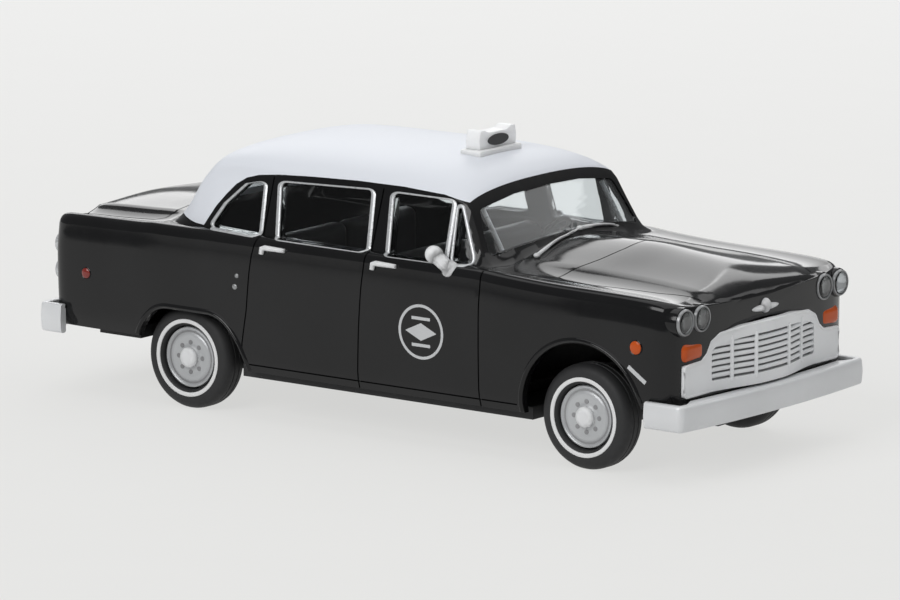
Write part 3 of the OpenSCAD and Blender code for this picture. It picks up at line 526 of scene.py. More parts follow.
def finish_piece(obj, materials, body="car", nodes=(), sharp=35):
    """Give a piece its materials, smooth faces with sharp edges kept and its body, and hide the nodes it
    replaces.
    """
    mesh = obj.data
    mesh.name = obj.name
    if not mesh.materials:
        for material in materials if isinstance(materials, (list, tuple)) else [materials]:
            mesh.materials.append(material)
    bm = bmesh.new()
    bm.from_mesh(mesh)
    for face in bm.faces:
        face.smooth = True
    for edge in bm.edges:
        edge.smooth = len(edge.link_faces) != 2 or edge.calc_face_angle(0) < math.radians(sharp)
    bm.to_mesh(mesh)
    bm.free()
    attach(obj, body)
    if nodes:
        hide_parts(*nodes)
    return obj


def piece(name, solid, material, body="car", nodes=(), sharp=35):
    return finish_piece(loose_object(name, solid), material, body, nodes, sharp)


# Node trees

def new_nodes(tree, *kinds):
    return [tree.nodes.new(kind) for kind in kinds]


def give(node, values):
    """Set inputs of a node by name or number."""
    for entry, value in values.items():
        node.inputs[entry].default_value = value


def wire(tree, *runs):
    """Link nodes; each run holds a node, its output, the next node and its input."""
    for source, output, target, entry in runs:
        tree.links.new(source.outputs[output], target.inputs[entry])


def pattern_group(name, inputs):
    """Geometry nodes group with named inputs, and their values by socket identifier."""
    group = bpy.data.node_groups.new(name, "GeometryNodeTree")
    values = {}
    for label, (kind, value) in inputs.items():
        socket = group.interface.new_socket(label, in_out="INPUT", socket_type="NodeSocket" + kind)
        values[socket.identifier] = value
    group.interface.new_socket("Geometry", in_out="OUTPUT", socket_type="NodeSocketGeometry")
    return group, values


def placed_by_nodes(name, group, values):
    """Run a geometry nodes group on an empty mesh and keep its result as a plain mesh."""
    obj = bpy.data.objects.new(name, bpy.data.meshes.new(name))
    bpy.context.scene.collection.objects.link(obj)
    modifier = obj.modifiers.new("pattern", "NODES")
    modifier.node_group = group
    for identifier, value in values.items():
        modifier[identifier] = value
    graph = bpy.context.evaluated_depsgraph_get()
    mesh = bpy.data.meshes.new_from_object(obj.evaluated_get(graph))
    obj.modifiers.remove(modifier)
    empty, obj.data = obj.data, mesh
    bpy.data.meshes.remove(empty)
    return obj


# Materials

PATCH_SCALE, PATCH_DETAIL, PATCH_EDGES = 160.0, 4.0, (0.3, 0.7)  # soft patches of a slightly other colour
GRAIN_DETAIL, RELIEF_DEPTH = 3.0, 0.00002
COAT_ROUGHNESS, LEAST_ROUGHNESS = 0.05, 0.02
LIGHT_SHARE, LIGHT_DEPTH = 0.7, 0.001  # how much light spreads inside thin white plastic, and how deep


def surface(name, colour, roughness, metallic=0.0, grain=0.0, grain_scale=1500.0, spread=0.12, coat=0.0,
            bump=0.05, ior=1.45):
    """Moulded or painted surface: a noise varies its colour and roughness and gives it a fine grain."""
    material = bpy.data.materials.new(name)
    material.use_nodes = True
    tree = material.node_tree
    shader = tree.nodes["Principled BSDF"]
    place, patches, tint, fine, gloss, relief = new_nodes(
        tree, "ShaderNodeTexCoord", "ShaderNodeTexNoise", "ShaderNodeValToRGB", "ShaderNodeTexNoise",
        "ShaderNodeMapRange", "ShaderNodeBump")
    give(shader, {"Metallic": metallic, "IOR": ior, "Coat Weight": coat, "Coat Roughness": COAT_ROUGHNESS})
    give(patches, {"Scale": PATCH_SCALE, "Detail": PATCH_DETAIL})
    for stop, edge, sign in zip(tint.color_ramp.elements, PATCH_EDGES, (-1, 1)):
        stop.position = edge
        stop.color = (*[min(1.0, c * (1 + sign * spread)) for c in colour], 1)
    give(fine, {"Scale": grain_scale, "Detail": GRAIN_DETAIL})
    give(gloss, {"To Min": max(LEAST_ROUGHNESS, roughness - grain), "To Max": min(1.0, roughness + grain)})
    give(relief, {"Strength": bump, "Distance": RELIEF_DEPTH})
    wire(
        tree,
        (place, "Object", patches, "Vector"), (patches, "Fac", tint, "Fac"),
        (tint, "Color", shader, "Base Color"), (place, "Object", fine, "Vector"),
        (fine, "Fac", gloss, "Value"), (gloss, "Result", shader, "Roughness"),
        (fine, "Fac", relief, "Height"), (relief, "Normal", shader, "Normal"),
    )
    return material


def clear_surface(name, colour, roughness, scale, ior=1.45, bump=0.02):
    """Clear moulding: see-through, with faint waves in its surface."""
    material = surface(
        name, colour, roughness, grain=0.01, grain_scale=scale, spread=0.02, bump=bump, ior=ior)
    give(material.node_tree.nodes["Principled BSDF"], {"Transmission Weight": 1.0})
    return material


def let_light_through(material):
    """White plastic that is thin enough for light to spread inside it."""
    give(material.node_tree.nodes["Principled BSDF"], {
        "Subsurface Weight": LIGHT_SHARE, "Subsurface Radius": (1.0, 1.0, 1.0),
        "Subsurface Scale": LIGHT_DEPTH,
    })


BLACK_GLOSS = surface(
    "black_gloss_plastic", (0.006, 0.006, 0.0065), 0.1, grain=0.03, spread=0.2, bump=0.03, ior=1.4)
BLACK_SURROUND = surface(
    "black_windscreen_surround", (0.007, 0.007, 0.0075), 0.5, grain=0.06, spread=0.2, ior=1.25)
WHITE_ROOF = surface("white_roof_paint", (0.73, 0.755, 0.805), 0.48, grain=0.02, spread=0.006, bump=0.006)
SILVER = surface("satin_silver_plastic", (0.72, 0.73, 0.74), 0.36, metallic=0.15, grain=0.06, spread=0.05)
BRIGHT_TRIM = surface("bright_silver_trim", (0.55, 0.56, 0.57), 0.28, metallic=0.4, grain=0.06, spread=0.06)
TYRE = surface(
    "black_tyre_rubber", (0.022, 0.022, 0.023), 0.62, grain=0.1, grain_scale=2500, spread=0.15, bump=0.2)
WHITE_RING = surface("white_tyre_ring", (0.8, 0.8, 0.8), 0.45, grain=0.06, spread=0.04)
WHEEL_SILVER = surface("silver_wheel_paint", (0.5, 0.51, 0.52), 0.36, metallic=0.3, grain=0.06, spread=0.08)
WHITE_TRIM = surface("white_silver_trim", (0.83, 0.84, 0.85), 0.34, grain=0.05, spread=0.04)
DARK_RECESS = surface("dark_recess", (0.05, 0.05, 0.051), 0.6, grain=0.08, spread=0.2)
CHASSIS_PLASTIC = surface("matt_black_chassis", (0.018, 0.018, 0.019), 0.55, grain=0.1, spread=0.2, bump=0.12)
CABIN_PLASTIC = surface("dark_cabin_plastic", (0.035, 0.033, 0.032), 0.5, grain=0.1, spread=0.2, bump=0.1)
AMBER = surface("amber_lamp_plastic", (0.5, 0.08, 0.011), 0.2, grain=0.04, spread=0.15, coat=0.1, ior=1.3)
RED = surface("red_lamp_plastic", (0.22, 0.02, 0.014), 0.18, grain=0.04, spread=0.2, coat=0.4)
SIGN_WHITE = surface("roof_sign_plastic", (0.92, 0.93, 0.94), 0.4, grain=0.05, spread=0.03)
REFLECTOR = surface("lamp_reflector", (0.85, 0.86, 0.87), 0.25, metallic=0.45, grain=0.04, spread=0.04)
STEEL = surface("steel_axle_pin", (0.45, 0.45, 0.46), 0.25, metallic=1.0, grain=0.08, spread=0.06)
PRINTED_SILVER = surface("printed_silver_ink", (0.58, 0.59, 0.60), 0.4, metallic=0.2, grain=0.06, spread=0.05)
GRILLE_SILVER = surface(
    "light_grille_plastic", (0.8, 0.81, 0.82), 0.4, metallic=0.05, grain=0.06, spread=0.05)
# Painted shade: the grey slab behind the grille's bars stands in for the shade in its slots.
GRILLE_SLOT_SHADE = surface("grille_slot_painted_shade", (0.25, 0.25, 0.253), 0.5, grain=0.08, spread=0.2)
# Painted shade: this grey on the wheel's holes and groove stands in for the shade inside them.
PAINTED_HOLE_SHADE = surface("wheel_hole_painted_shade", (0.26, 0.26, 0.265), 0.5, grain=0.08, spread=0.2)
BEZEL_GREY = surface("grey_lamp_rim", (0.3, 0.305, 0.31), 0.3, metallic=0.5, grain=0.06, spread=0.08)
GLASS = clear_surface("clear_window_moulding", (0.93, 0.96, 0.97), 0.02, 120.0)
# Painted shade: the side panes are a darker copy of the clear moulding, with less reflection.
SHADED_SIDE_GLASS = clear_surface("side_window_moulding_painted_shade", (0.85, 0.88, 0.89), 0.02, 120.0, ior=1.27)
LENS = clear_surface("clear_lamp_lens", (0.95, 0.97, 0.98), 0.05, 1400.0, bump=0.5)
for thin_plastic in (SIGN_WHITE, WHITE_TRIM):
    let_light_through(thin_plastic)

# Body and roof mouldings

NOSE, TAIL = STATIONS[-1], STATIONS[0]
HOLLOW_FIRST, HOLLOW_LAST = STATIONS[3], STATIONS[-4]  # the shell is solid beyond these
PAST = 1.0  # how far a cut reaches past what it cuts
WIDE = HALF_WIDTH + PAST
GROOVE = 0.11  # width and depth of the gaps round doors, hood and trunk lid
SKIN_STEP, HOLLOW_STEP, CORE_STEP, PANE_STEP = 0.45, 1.0, 0.6, 0.7  # longest facets along the car
PANE_OUTSIDE, PANE_INSIDE = 0.1, 0.4  # faces of the glazing below the skin
SIDE_WINDOW_CORNER, WINDSCREEN_CORNER, REAR_WINDOW_CORNER = 0.35, 0.5, 0.6
FRONT_ARCH, FRONT_ARCH_RADIUS = (FRONT_AXLE_X + 0.25, AXLE_Z + 0.4), 4.95
REAR_ARCH, REAR_ARCH_RADIUS, REAR_ARCH_TOP = (REAR_AXLE_X + 0.7, AXLE_Z - 1.1), 5.3, 7.3
ARCH_CORNER, ARCH_CORNER_STEPS, ARCH_POINTS = 0.7, 6, 72
DOOR_LINES = [  # gaps of the doors, seen from the side
    [(-10.1, 3.0), (-9.9, 5.6), (-9.45, 8.0), (-9.05, 12.0), (-8.7, 13.4), (-8.6, 17.4)],
    [(0.35, 3.0), (0.6, 8.0), (1.0, 13.2), (1.2, 17.6)],
    [(11.0, 3.0), (11.05, 8.0), (11.1, 13.1)],
]
SILL_LINE = [(-9.6, 4.1), (11.0, 4.1), (14.2, 4.1)]
HOOD_HALF = [  # left half of the hood's gap, seen from above
    (26.9, 6.6), (24.0, 7.6), (19.0, 8.3), (16.6, 8.35), (15.8, 7.9), (15.9, 6.6), (16.7, 4.2), (17.2, 2.0),
]
HOOD_MIDDLE, TRUNK_MIDDLE = (17.3, 0.0), (-20.0, 0.0)
TRUNK_HALF = [(-27.9, 7.3), (-24.5, 7.5), (-20.6, 7.4), (-19.9, 7.0), (-19.7, 6.0), (-19.9, 3.0)]
LID_HALF = [(7.3, 13.5), (7.1, 8.4), (6.9, 7.8), (6.4, 7.45)]  # gap of the trunk lid, seen from behind
DECK_LOW, DECK_HIGH, LID_DEPTH = 10.5, 16.0, 0.8  # heights and depth between which those gaps are cut
SURROUND_BACK, SURROUND_LOW, SURROUND_TURN = 8.0, 14.0, 0.3  # where the windscreen's matt surround starts
GRILLE_BED, GRILLE_PAST, GRILLE_CLEARANCE = 26.85, 30.0, 0.03  # place that is cut for the grille


def rounded_top(arc):
    """Soften the two upper corners of a cut-off circle."""
    left, right = Vector(arc[0]), Vector(arc[-1])
    inner = [p for p in arc if min((Vector(p) - corner).length for corner in (left, right)) > ARCH_CORNER]
    toward = (right - left).normalized()
    first = bend(left + toward * ARCH_CORNER, left, Vector(inner[0]), ARCH_CORNER_STEPS)
    last = bend(Vector(inner[-1]), right, right - toward * ARCH_CORNER, ARCH_CORNER_STEPS)
    return first + inner[1:-1] + last


def arch_outline(name):
    """Wheel opening seen from the side: round in front, with a flat top at the rear."""
    if name == "front":
        return on_circle(FRONT_ARCH, FRONT_ARCH_RADIUS, around(ARCH_POINTS))
    rim = math.asin((REAR_ARCH_TOP - REAR_ARCH[1]) / REAR_ARCH_RADIUS)
    turns = np.linspace(math.pi - rim, 2 * math.pi + rim, ARCH_POINTS)
    return rounded_top(on_circle(REAR_ARCH, REAR_ARCH_RADIUS, turns))


def skin_shell():
    shell = loose_object("shell", skin_solid(TAIL, NOSE, SKIN_STEP))
    return combine(shell, skin_solid(HOLLOW_FIRST, HOLLOW_LAST, HOLLOW_STEP, WALL, PAST), "DIFFERENCE")


ROOF_PRISM = prism(seen_from_side(ROOF_OUTLINE_SHARES), "y", -WIDE, WIDE)
WINDOWS = {
    name: rounded(seen_from_side(shares), SIDE_WINDOW_CORNER) for name, shares in SIDE_WINDOW_SHARES.items()
}
WINDSCREEN = rounded(seen_from_end(WINDSCREEN_SHARES), WINDSCREEN_CORNER)
REAR_WINDOW = rounded(seen_from_end(REAR_WINDOW_SHARES), REAR_WINDOW_CORNER)
WINDSCREEN_PRISM = prism(WINDSCREEN, "x", *[share * LENGTH for share in WINDSCREEN_SPAN_SHARES])
REAR_WINDOW_PRISM = prism(REAR_WINDOW, "x", *[share * LENGTH for share in REAR_WINDOW_SPAN_SHARES])


def panel_gaps():
    """Thin slabs along the gaps of doors, hood and trunk lid."""
    slabs = [prism(ribbon(line, GROOVE), "y", -WIDE, WIDE) for line in [*DOOR_LINES, SILL_LINE]]
    for half, middle in ((HOOD_HALF, HOOD_MIDDLE), (TRUNK_HALF, TRUNK_MIDDLE)):
        slabs.append(prism(ribbon(both_halves(half, [middle]), GROOVE), "z", DECK_LOW, DECK_HIGH))
    lid = both_halves(LID_HALF, mirrored=0)
    slabs.append(prism(ribbon(lid, GROOVE), "x", TAIL - PAST, TAIL + LID_DEPTH))
    return slabs


def body_moulding():
    body = skin_shell()
    arches = [prism(arch_outline(name), "y", -WIDE, WIDE) for name in ("front", "rear")]
    windows = [prism(outline, "y", -WIDE, WIDE) for outline in WINDOWS.values()]
    grille_place = prism(grown(GRILLE_OUTLINE, GRILLE_CLEARANCE), "x", GRILLE_BED, GRILLE_PAST)
    core = skin_solid(TAIL + GROOVE, NOSE - GROOVE, CORE_STEP, GROOVE)
    first, *others = panel_gaps()
    gaps = loose_object("gaps", first)
    for slab in others:
        combine(gaps, slab, "UNION")
    combine(gaps, core, "DIFFERENCE")
    for cut in [*arches, gaps, grille_place, ROOF_PRISM, WINDSCREEN_PRISM, *windows]:
        combine(body, cut, "DIFFERENCE")
    body.name = "body_moulding"
    finish_piece(body, [BLACK_GLOSS, BLACK_SURROUND], nodes=["body_shell"])
    for face in body.data.polygons:
        place = face.center / MM
        if place.x > SURROUND_BACK and place.z > SURROUND_LOW and face.normal.x > SURROUND_TURN:
            face.material_index = 1


def roof_moulding():
    roof = combine(skin_shell(), ROOF_PRISM, "INTERSECT")
    combine(roof, REAR_WINDOW_PRISM, "DIFFERENCE")
    roof.name = "roof_moulding"
    finish_piece(roof, WHITE_ROOF, nodes=["roof"])


def pane(name, cutter, first, last, node, glass_material):
    """Pane that follows the skin between two stations, cut to the outline of its window."""
    first, last = STATIONS[first], STATIONS[last]
    glass = loose_object(name, skin_solid(first, last, PANE_STEP, PANE_OUTSIDE))
    combine(glass, skin_solid(first - PAST, last + PAST, PANE_STEP, PANE_INSIDE, PAST), "DIFFERENCE")
    combine(glass, cutter, "INTERSECT")
    finish_piece(glass, glass_material, nodes=[node])


def glazing():
    pane("windscreen_pane", WINDSCREEN_PRISM, 14, 20, "windscreen", GLASS)
    pane("rear_window_pane", REAR_WINDOW_PRISM, 5, 11, "rear_window", GLASS)
    for side, name in SIDES:
        low, high = (0, WIDE) if side > 0 else (-WIDE, 0)
        cutter = joined(*[prism(outline, "y", low, high) for outline in WINDOWS.values()])
        pane(f"side_panes_{name}_clear", cutter, 6, 19, f"side_panes_{name}", SHADED_SIDE_GLASS)


# Trim on the body's sides

FRAME_WIDTHS = {  # of the upright, upper and lower edges
    "quarter": (0.36, 0.06, 0.1),
    "rear_door": (0.4, 0.13, 0.04),
    "front_door": (0.4, 0.13, 0.03),
    "vent": (0.26, 0.26, 0.12),
}
FRAME_PROFILE = [(0, -0.05), (1, -0.05), (1, 0.02), (0.75, 0.07), (0.4, 0.08), (0.1, 0.05), (0, 0.0)]
LIP_WIDTH, LIP_ROOT, LIP_BASE, LIP_HEIGHT, LIP_STEPS = 0.4, -0.12, -0.02, 0.17, 8
LIP_PROFILE = [(0, LIP_ROOT), (1, LIP_ROOT)] + [
    (1 - k / LIP_STEPS, LIP_BASE + LIP_HEIGHT * math.sin(math.pi * k / LIP_STEPS))
    for k in range(LIP_STEPS + 1)
]
PRINT_PROFILE = [(0, 0.0), (1, 0.0), (1, 0.02), (0, 0.02)]
FENDER_STUDS = [(-10.27, 10.42, 0.17), (-10.46, 9.61, 0.21)]  # place along the car, height, radius
STUD_HEIGHT = 0.1
FENDER_BAR, FENDER_BAR_WIDTH = [(23.75, 7.95), (24.2, 7.63), (24.7, 7.27), (25.15, 6.95)], 0.3
ROUNDEL, ROUNDEL_RADIUS, ROUNDEL_LINE, ROUNDEL_POINTS = (6.1, 8.3), 1.95, 0.2, 64
LOZENGE_LENGTH, LOZENGE_HEIGHT, LOZENGE_TIP = 1.35, 0.62, 0.005  # halves
LOZENGE_REACH, LOZENGE_POINTS = 0.98, 9  # how much of its length is drawn
DASH_LENGTH, DASH_HEIGHT, DASH_PLACE = 0.8, 0.11, 0.95  # halves, and distance from the roundel's middle


def side_trim():
    """Bright window frames, raised arch lips, door roundels, fender bars and studs, on both sides."""
    frames, lips, marks, studs = [], [], [], []
    for side, _ in SIDES:
        for name, outline in WINDOWS.items():
            frames.append(laid_on_side(outline, framed(outline, *FRAME_WIDTHS[name]), side, FRAME_PROFILE))
        for name in ("front", "rear"):
            outline = arch_outline(name)
            wide = grown(outline, LIP_WIDTH)
            both = [(a, b) for a, b in zip(outline, wide) if on_body(*a) and on_body(*b)]
            start = max(range(len(both)), key=lambda i: math.dist(both[i][0], both[i - 1][0]))
            both = both[start:] + both[:start]
            lips.append(laid_on_side(*zip(*both), side, LIP_PROFILE, closed=False))
        marks += [roundel(side), fender_bar(side)]
        for x, z, r in FENDER_STUDS:
            studs.append(egg((x, side * on_side(x, z).y, z), (r, STUD_HEIGHT, r)))
    piece("window_frames_bright", joined(*frames), BRIGHT_TRIM, sharp=50)
    piece("wheel_arch_lips", joined(*lips), BLACK_GLOSS, sharp=70)
    piece("door_roundels", joined(*marks), PRINTED_SILVER)
    piece("fender_studs", joined(*studs), BEZEL_GREY)


def fender_bar(side):
    """Plain slanted bar behind the front bumper."""
    bar = ribbon(FENDER_BAR, FENDER_BAR_WIDTH)
    half = len(bar) // 2
    return laid_on_side(bar[:half], bar[:half - 1:-1], side, PRINT_PROFILE, closed=False)


def roundel(side):
    """Plain printed ring around a lozenge, with a short bar above and below it."""
    middle_x, middle_z = ROUNDEL

    def strip(columns):
        return laid_on_side(*zip(*columns), side, PRINT_PROFILE, closed=False)

    radii = (ROUNDEL_RADIUS - ROUNDEL_LINE, ROUNDEL_RADIUS)
    circles = [on_circle(ROUNDEL, radius, around(ROUNDEL_POINTS)) for radius in radii]
    marks = [laid_on_side(*circles, side, PRINT_PROFILE)]
    lozenge = []
    for u in np.linspace(-LOZENGE_REACH, LOZENGE_REACH, LOZENGE_POINTS):
        h = LOZENGE_HEIGHT * (1 - abs(u))
        x = middle_x + LOZENGE_LENGTH * u
        lozenge.append(((x, middle_z - h - LOZENGE_TIP), (x, middle_z + h + LOZENGE_TIP)))
    marks.append(strip(lozenge))
    for z in (middle_z + DASH_PLACE, middle_z - DASH_PLACE):
        xs = [middle_x + DASH_LENGTH * u for u in (-1, 0, 1)]
        marks.append(strip([((x, z - DASH_HEIGHT), (x, z + DASH_HEIGHT)) for x in xs]))
    return joined(*marks)


# Wheels: profiles hold (radius, distance out from the tyre's side)

TYRE_WIDTH = 2.2
SIDEWALL = [
    (2.30, -0.98), (2.30, -0.40), (2.36, -0.20), (2.46, -0.07), (2.60, -0.015), (2.80, 0.0), (3.05, 0.0),
    (3.26, -0.035), (3.43, -0.12), (3.56, -0.25), (3.66, -0.43), (3.71, -0.62), (3.72, -0.74),
]
TREAD = [(3.72, -0.80), (3.65, -0.83), (3.65, -0.89), (3.72, -0.92)]
DISC = [
    (0, -1.40), (2.28, -1.40), (2.28, -0.95), (2.20, -0.90), (2.19, -0.42), (2.15, -0.33), (2.06, -0.30),
    (1.97, -0.35), (1.91, -0.45), (1.83, -0.46), (1.76, -0.40), (1.66, -0.34), (1.40, -0.36), (1.10, -0.41),
    (0.86, -0.40), (0.76, -0.33), (0.66, -0.32), (0, -0.32),
]
CAP = [
    (0, -0.42), (0.74, -0.42), (0.74, -0.16), (0.70, -0.06), (0.60, 0.01), (0.42, 0.06), (0.2, 0.08),
    (0, 0.085),
]
GROOVE_RING = [(1.80, -0.47), (1.80, -0.435), (1.96, -0.425), (1.98, -0.34), (2.0, -0.47)]
WHITE_BAND = [(2.51, -0.08), (2.52, 0.0), (2.56, 0.02), (2.76, 0.026), (2.80, 0.018), (2.82, -0.03)]
HOLE_COUNT, HOLE_RING, HOLE_RADIUS, HOLE_DEPTH, HOLE_SET_BACK, HOLE_SIDES = 8, 1.08, 0.17, 0.05, 0.4, 20


def painted_hole_shades(name, centre, side):
    """Grey discs of painted shade for small round holes in a ring on a wheel disc, placed by geometry nodes
    and turned into a plain mesh.
    """
    group, values = pattern_group(name + "_nodes", {
        "Count": ("Int", HOLE_COUNT), "Ring Radius": ("Float", HOLE_RING * MM),
        "Item Radius": ("Float", HOLE_RADIUS * MM), "Item Depth": ("Float", HOLE_DEPTH * MM),
        "Item Material": ("Material", PAINTED_HOLE_SHADE),
    })
    given, result, ring, item, place, real, paint = new_nodes(
        group, "NodeGroupInput", "NodeGroupOutput", "GeometryNodeMeshCircle", "GeometryNodeMeshCylinder",
        "GeometryNodeInstanceOnPoints", "GeometryNodeRealizeInstances", "GeometryNodeSetMaterial")
    give(item, {"Vertices": HOLE_SIDES})
    wire(
        group,
        (given, "Count", ring, "Vertices"), (given, "Ring Radius", ring, "Radius"),
        (given, "Item Radius", item, "Radius"), (given, "Item Depth", item, "Depth"),
        (ring, "Mesh", place, "Points"), (item, "Mesh", place, "Instance"),
        (place, "Instances", real, "Geometry"), (real, "Geometry", paint, "Geometry"),
        (given, "Item Material", paint, "Material"), (paint, "Geometry", result, "Geometry"),
    )
    obj = placed_by_nodes(name, group, values)
    turned = Euler((math.radians(-90 * side), 0, 0)).to_matrix().to_4x4()
    obj.data.transform(Matrix.Translation(Vector(centre) * MM) @ turned)
    return obj


def wheels():
    near = SIDEWALL + TREAD
    tyre = near + [(r, -TYRE_WIDTH - out) for r, out in near[::-1]]
    for body, x in (("front", FRONT_AXLE_X), ("rear", REAR_AXLE_X)):
        for side, name in SIDES:
            where, rides = f"{body}_{name}", f"{body}_wheels"
            low, high = node_box(f"tyre_{where}")
            face = high.y if side > 0 else low.y

            def turned(profile):
                return lathe(profile, (x, face, AXLE_Z), "y", side)

            piece(f"tyre_{where}_rubber", turned(tyre), TYRE, rides, [f"tyre_{where}"], sharp=40)
            piece(f"tyre_{where}_white_ring", turned(WHITE_BAND), WHITE_RING, rides, sharp=60)
            piece(f"wheel_disc_{where}_pressed", turned(DISC), WHEEL_SILVER, rides,
                  [f"wheel_disc_{where}"], sharp=40)
            piece(f"wheel_cap_{where}", turned(CAP), WHITE_TRIM, rides)
            # The groove's grey ring is painted shade.
            piece(f"wheel_disc_{where}_groove", turned(GROOVE_RING), PAINTED_HOLE_SHADE, rides)
            holes = painted_hole_shades(f"wheel_disc_{where}_holes", (x, face - side * HOLE_SET_BACK, AXLE_Z), side)
            finish_piece(holes, PAINTED_HOLE_SHADE, rides)


# Bumpers

BUMPER_BOW, BUMPER_BULGE, BUMPER_CORNER = 0.6, 0.06, 0.6
BUMPER_POINTS, BUMPER_CORNER_STEPS, BUMPER_END_STEPS = 41, 8, 4
BUMPER_BACK, SHELF_BACK, SHELF_END = -0.55, -0.45, 1.2  # backs of bar and shelf, and where the shelf ends
# Points of the bar's section: out from its face, and above its bottom (foot) or its top (head and shelf)
BUMPER_FOOT = [(BUMPER_BACK, 0.10), (SHELF_BACK, 0.0), (-0.16, 0.0), (-0.05, 0.06), (0.0, 0.18)]
BUMPER_HEAD = [(0.0, -0.22), (-0.05, -0.08), (-0.16, 0.0)]
SHELF_EDGE = [(0.0, 0.0), (-0.06, -0.06), (0.0, -0.3)]
BUMPER_BACK_DROP = -0.34
BRACKET_PLACE, BRACKET_HALF, BRACKET_REACH = 2.4, 0.5, 0.5
BRACKET_LOW, BRACKET_HIGH, BRACKET_ROUND = 0.02, 0.4, 0.08


def bumper(name, node, direction, wrap, shelf):
    """Bar with a rounded face, bowed and wrapped around both corners, with a shelf along its top."""
    low, high = node_box(node)
    face = high.x if direction > 0 else -low.x
    bottom, half, tall = low.z, high.y, high.z - low.z
    straight = half - BUMPER_CORNER

    def bowed(y):
        return face - BUMPER_BOW * (y / half) ** 2

    middle = [(bowed(y), y) for y in np.linspace(-straight, straight, BUMPER_POINTS)]
    bent = bowed(straight) - BUMPER_CORNER
    end = on_circle((bent, straight), BUMPER_CORNER, np.linspace(0, math.pi / 2, BUMPER_CORNER_STEPS + 1)[1:])
    end += [(x, half) for x in np.linspace(bent, face - wrap, BUMPER_END_STEPS + 1)[1:]]
    plan = [(x, -y) for x, y in end[::-1]] + middle + end
    section = BUMPER_FOOT + [(BUMPER_BULGE, tall * 0.5)] + [(out, tall + up) for out, up in BUMPER_HEAD]
    rings = []
    for i, (x, y) in enumerate(plan):
        before, after = Vector(plan[max(i - 1, 0)]), Vector(plan[min(i + 1, len(plan) - 1)])
        run = (after - before).normalized()
        normal = Vector((run.y, -run.x))
        ledge = SHELF_BACK - shelf * min(1.0, max(0.0, half - SHELF_END - abs(y)))
        top = [(ledge + out, tall + up) for out, up in SHELF_EDGE] + [(BUMPER_BACK, tall + BUMPER_BACK_DROP)]
        ring = []
        for out, up in section + top:
            away = out - BUMPER_BULGE
            ring.append((direction * (x + normal.x * away), y + normal.y * away, bottom + up))
        rings.append(ring)
    brackets = []
    back, front = sorted((direction * (face - BRACKET_REACH), low.x if direction > 0 else high.x))
    for y in (BRACKET_PLACE, -BRACKET_PLACE):
        start = (back, y - BRACKET_HALF, bottom + BRACKET_LOW)
        brackets.append(block(start, (front, y + BRACKET_HALF, bottom + BRACKET_HIGH), BRACKET_ROUND))
    piece(name, joined(strung(rings), *brackets), SILVER, nodes=[node], sharp=50)


# Grille

GRILLE_FRONT, GRILLE_HALF, GRILLE_THICK = 28.45, 9.3, 0.6
GRILLE_FLAT, GRILLE_TURN = 0.7, 6.4  # half widths where the face starts to fall back and its wings start
GRILLE_SLOPE, WING_SLOPE = 0.95, 0.05  # how far the face falls back there, and on the wings
GRILLE_LOW, GRILLE_HIGH, GRILLE_BACK = 5.0, 11.0, 26.0  # block that the panel is cut from
GRILLE_RIGHT = [(9.3, 5.9), (9.3, 8.15), (7.35, 8.25), (6.75, 8.7), (6.3, 9.45), (5.3, 9.9), (3.2, 10.12)]
GRILLE_OUTLINE = both_halves(GRILLE_RIGHT, [(0, 10.2)], mirrored=0)
OPENING_RIGHT = [(6.15, 6.65), (6.15, 8.75), (5.6, 9.05), (3.4, 9.32), (1.8, 9.42)]
GRILLE_OPENING = both_halves(OPENING_RIGHT, mirrored=0)
GRILLE_CORNER, OPENING_CORNER = 0.35, 0.25
RIM_INSET, RIM_CORNER, RIM_LIFT, RIM_RADIUS = -0.06, 0.33, -0.03, 0.1
POST_PLACES, POST_HEIGHTS, POST_LIFT, POST_RADIUS = (-4.14, -1.95, 1.95, 4.14), (6.4, 8.0, 9.6), -0.06, 0.15
BAR_COUNT, BAR_PITCH, BAR_LOWEST, BAR_HALF, BAR_RADIUS, BAR_SET_BACK = 6, 0.425, 6.96, 6.3, 0.15, 0.16
BAR_POINTS, BAR_SIDES = 64, 10
BACK_SET_BACK, BACK_THICK, BACK_HALF, BACK_LOW, BACK_HIGH = 0.3, 0.25, 6.5, 6.3, 9.7
SLAB_POINTS = 61


def on_grille(y, z, lift=0.0):
    """Point on the grille's face, which falls back from a flat middle to nearly flat wings."""
    t = min(1.0, max(0.0, (abs(y) - GRILLE_FLAT) / (GRILLE_TURN - GRILLE_FLAT)))
    wing = max(0.0, (abs(y) - GRILLE_TURN) / (GRILLE_HALF - GRILLE_TURN))
    return Vector((GRILLE_FRONT - GRILLE_SLOPE * (3 * t**2 - 2 * t**3) - WING_SLOPE * wing + lift, y, z))


def bowed_slab(set_back, thick, half, low, high):
    """Slab that follows the grille's face, from half width to half width."""
    rings = []
    for y in np.linspace(-half, half, SLAB_POINTS):
        x = on_grille(y, 0, -set_back).x
        rings.append([(x - thick, y, low), (x, y, low), (x, y, high), (x - thick, y, high)])
    return strung(rings)


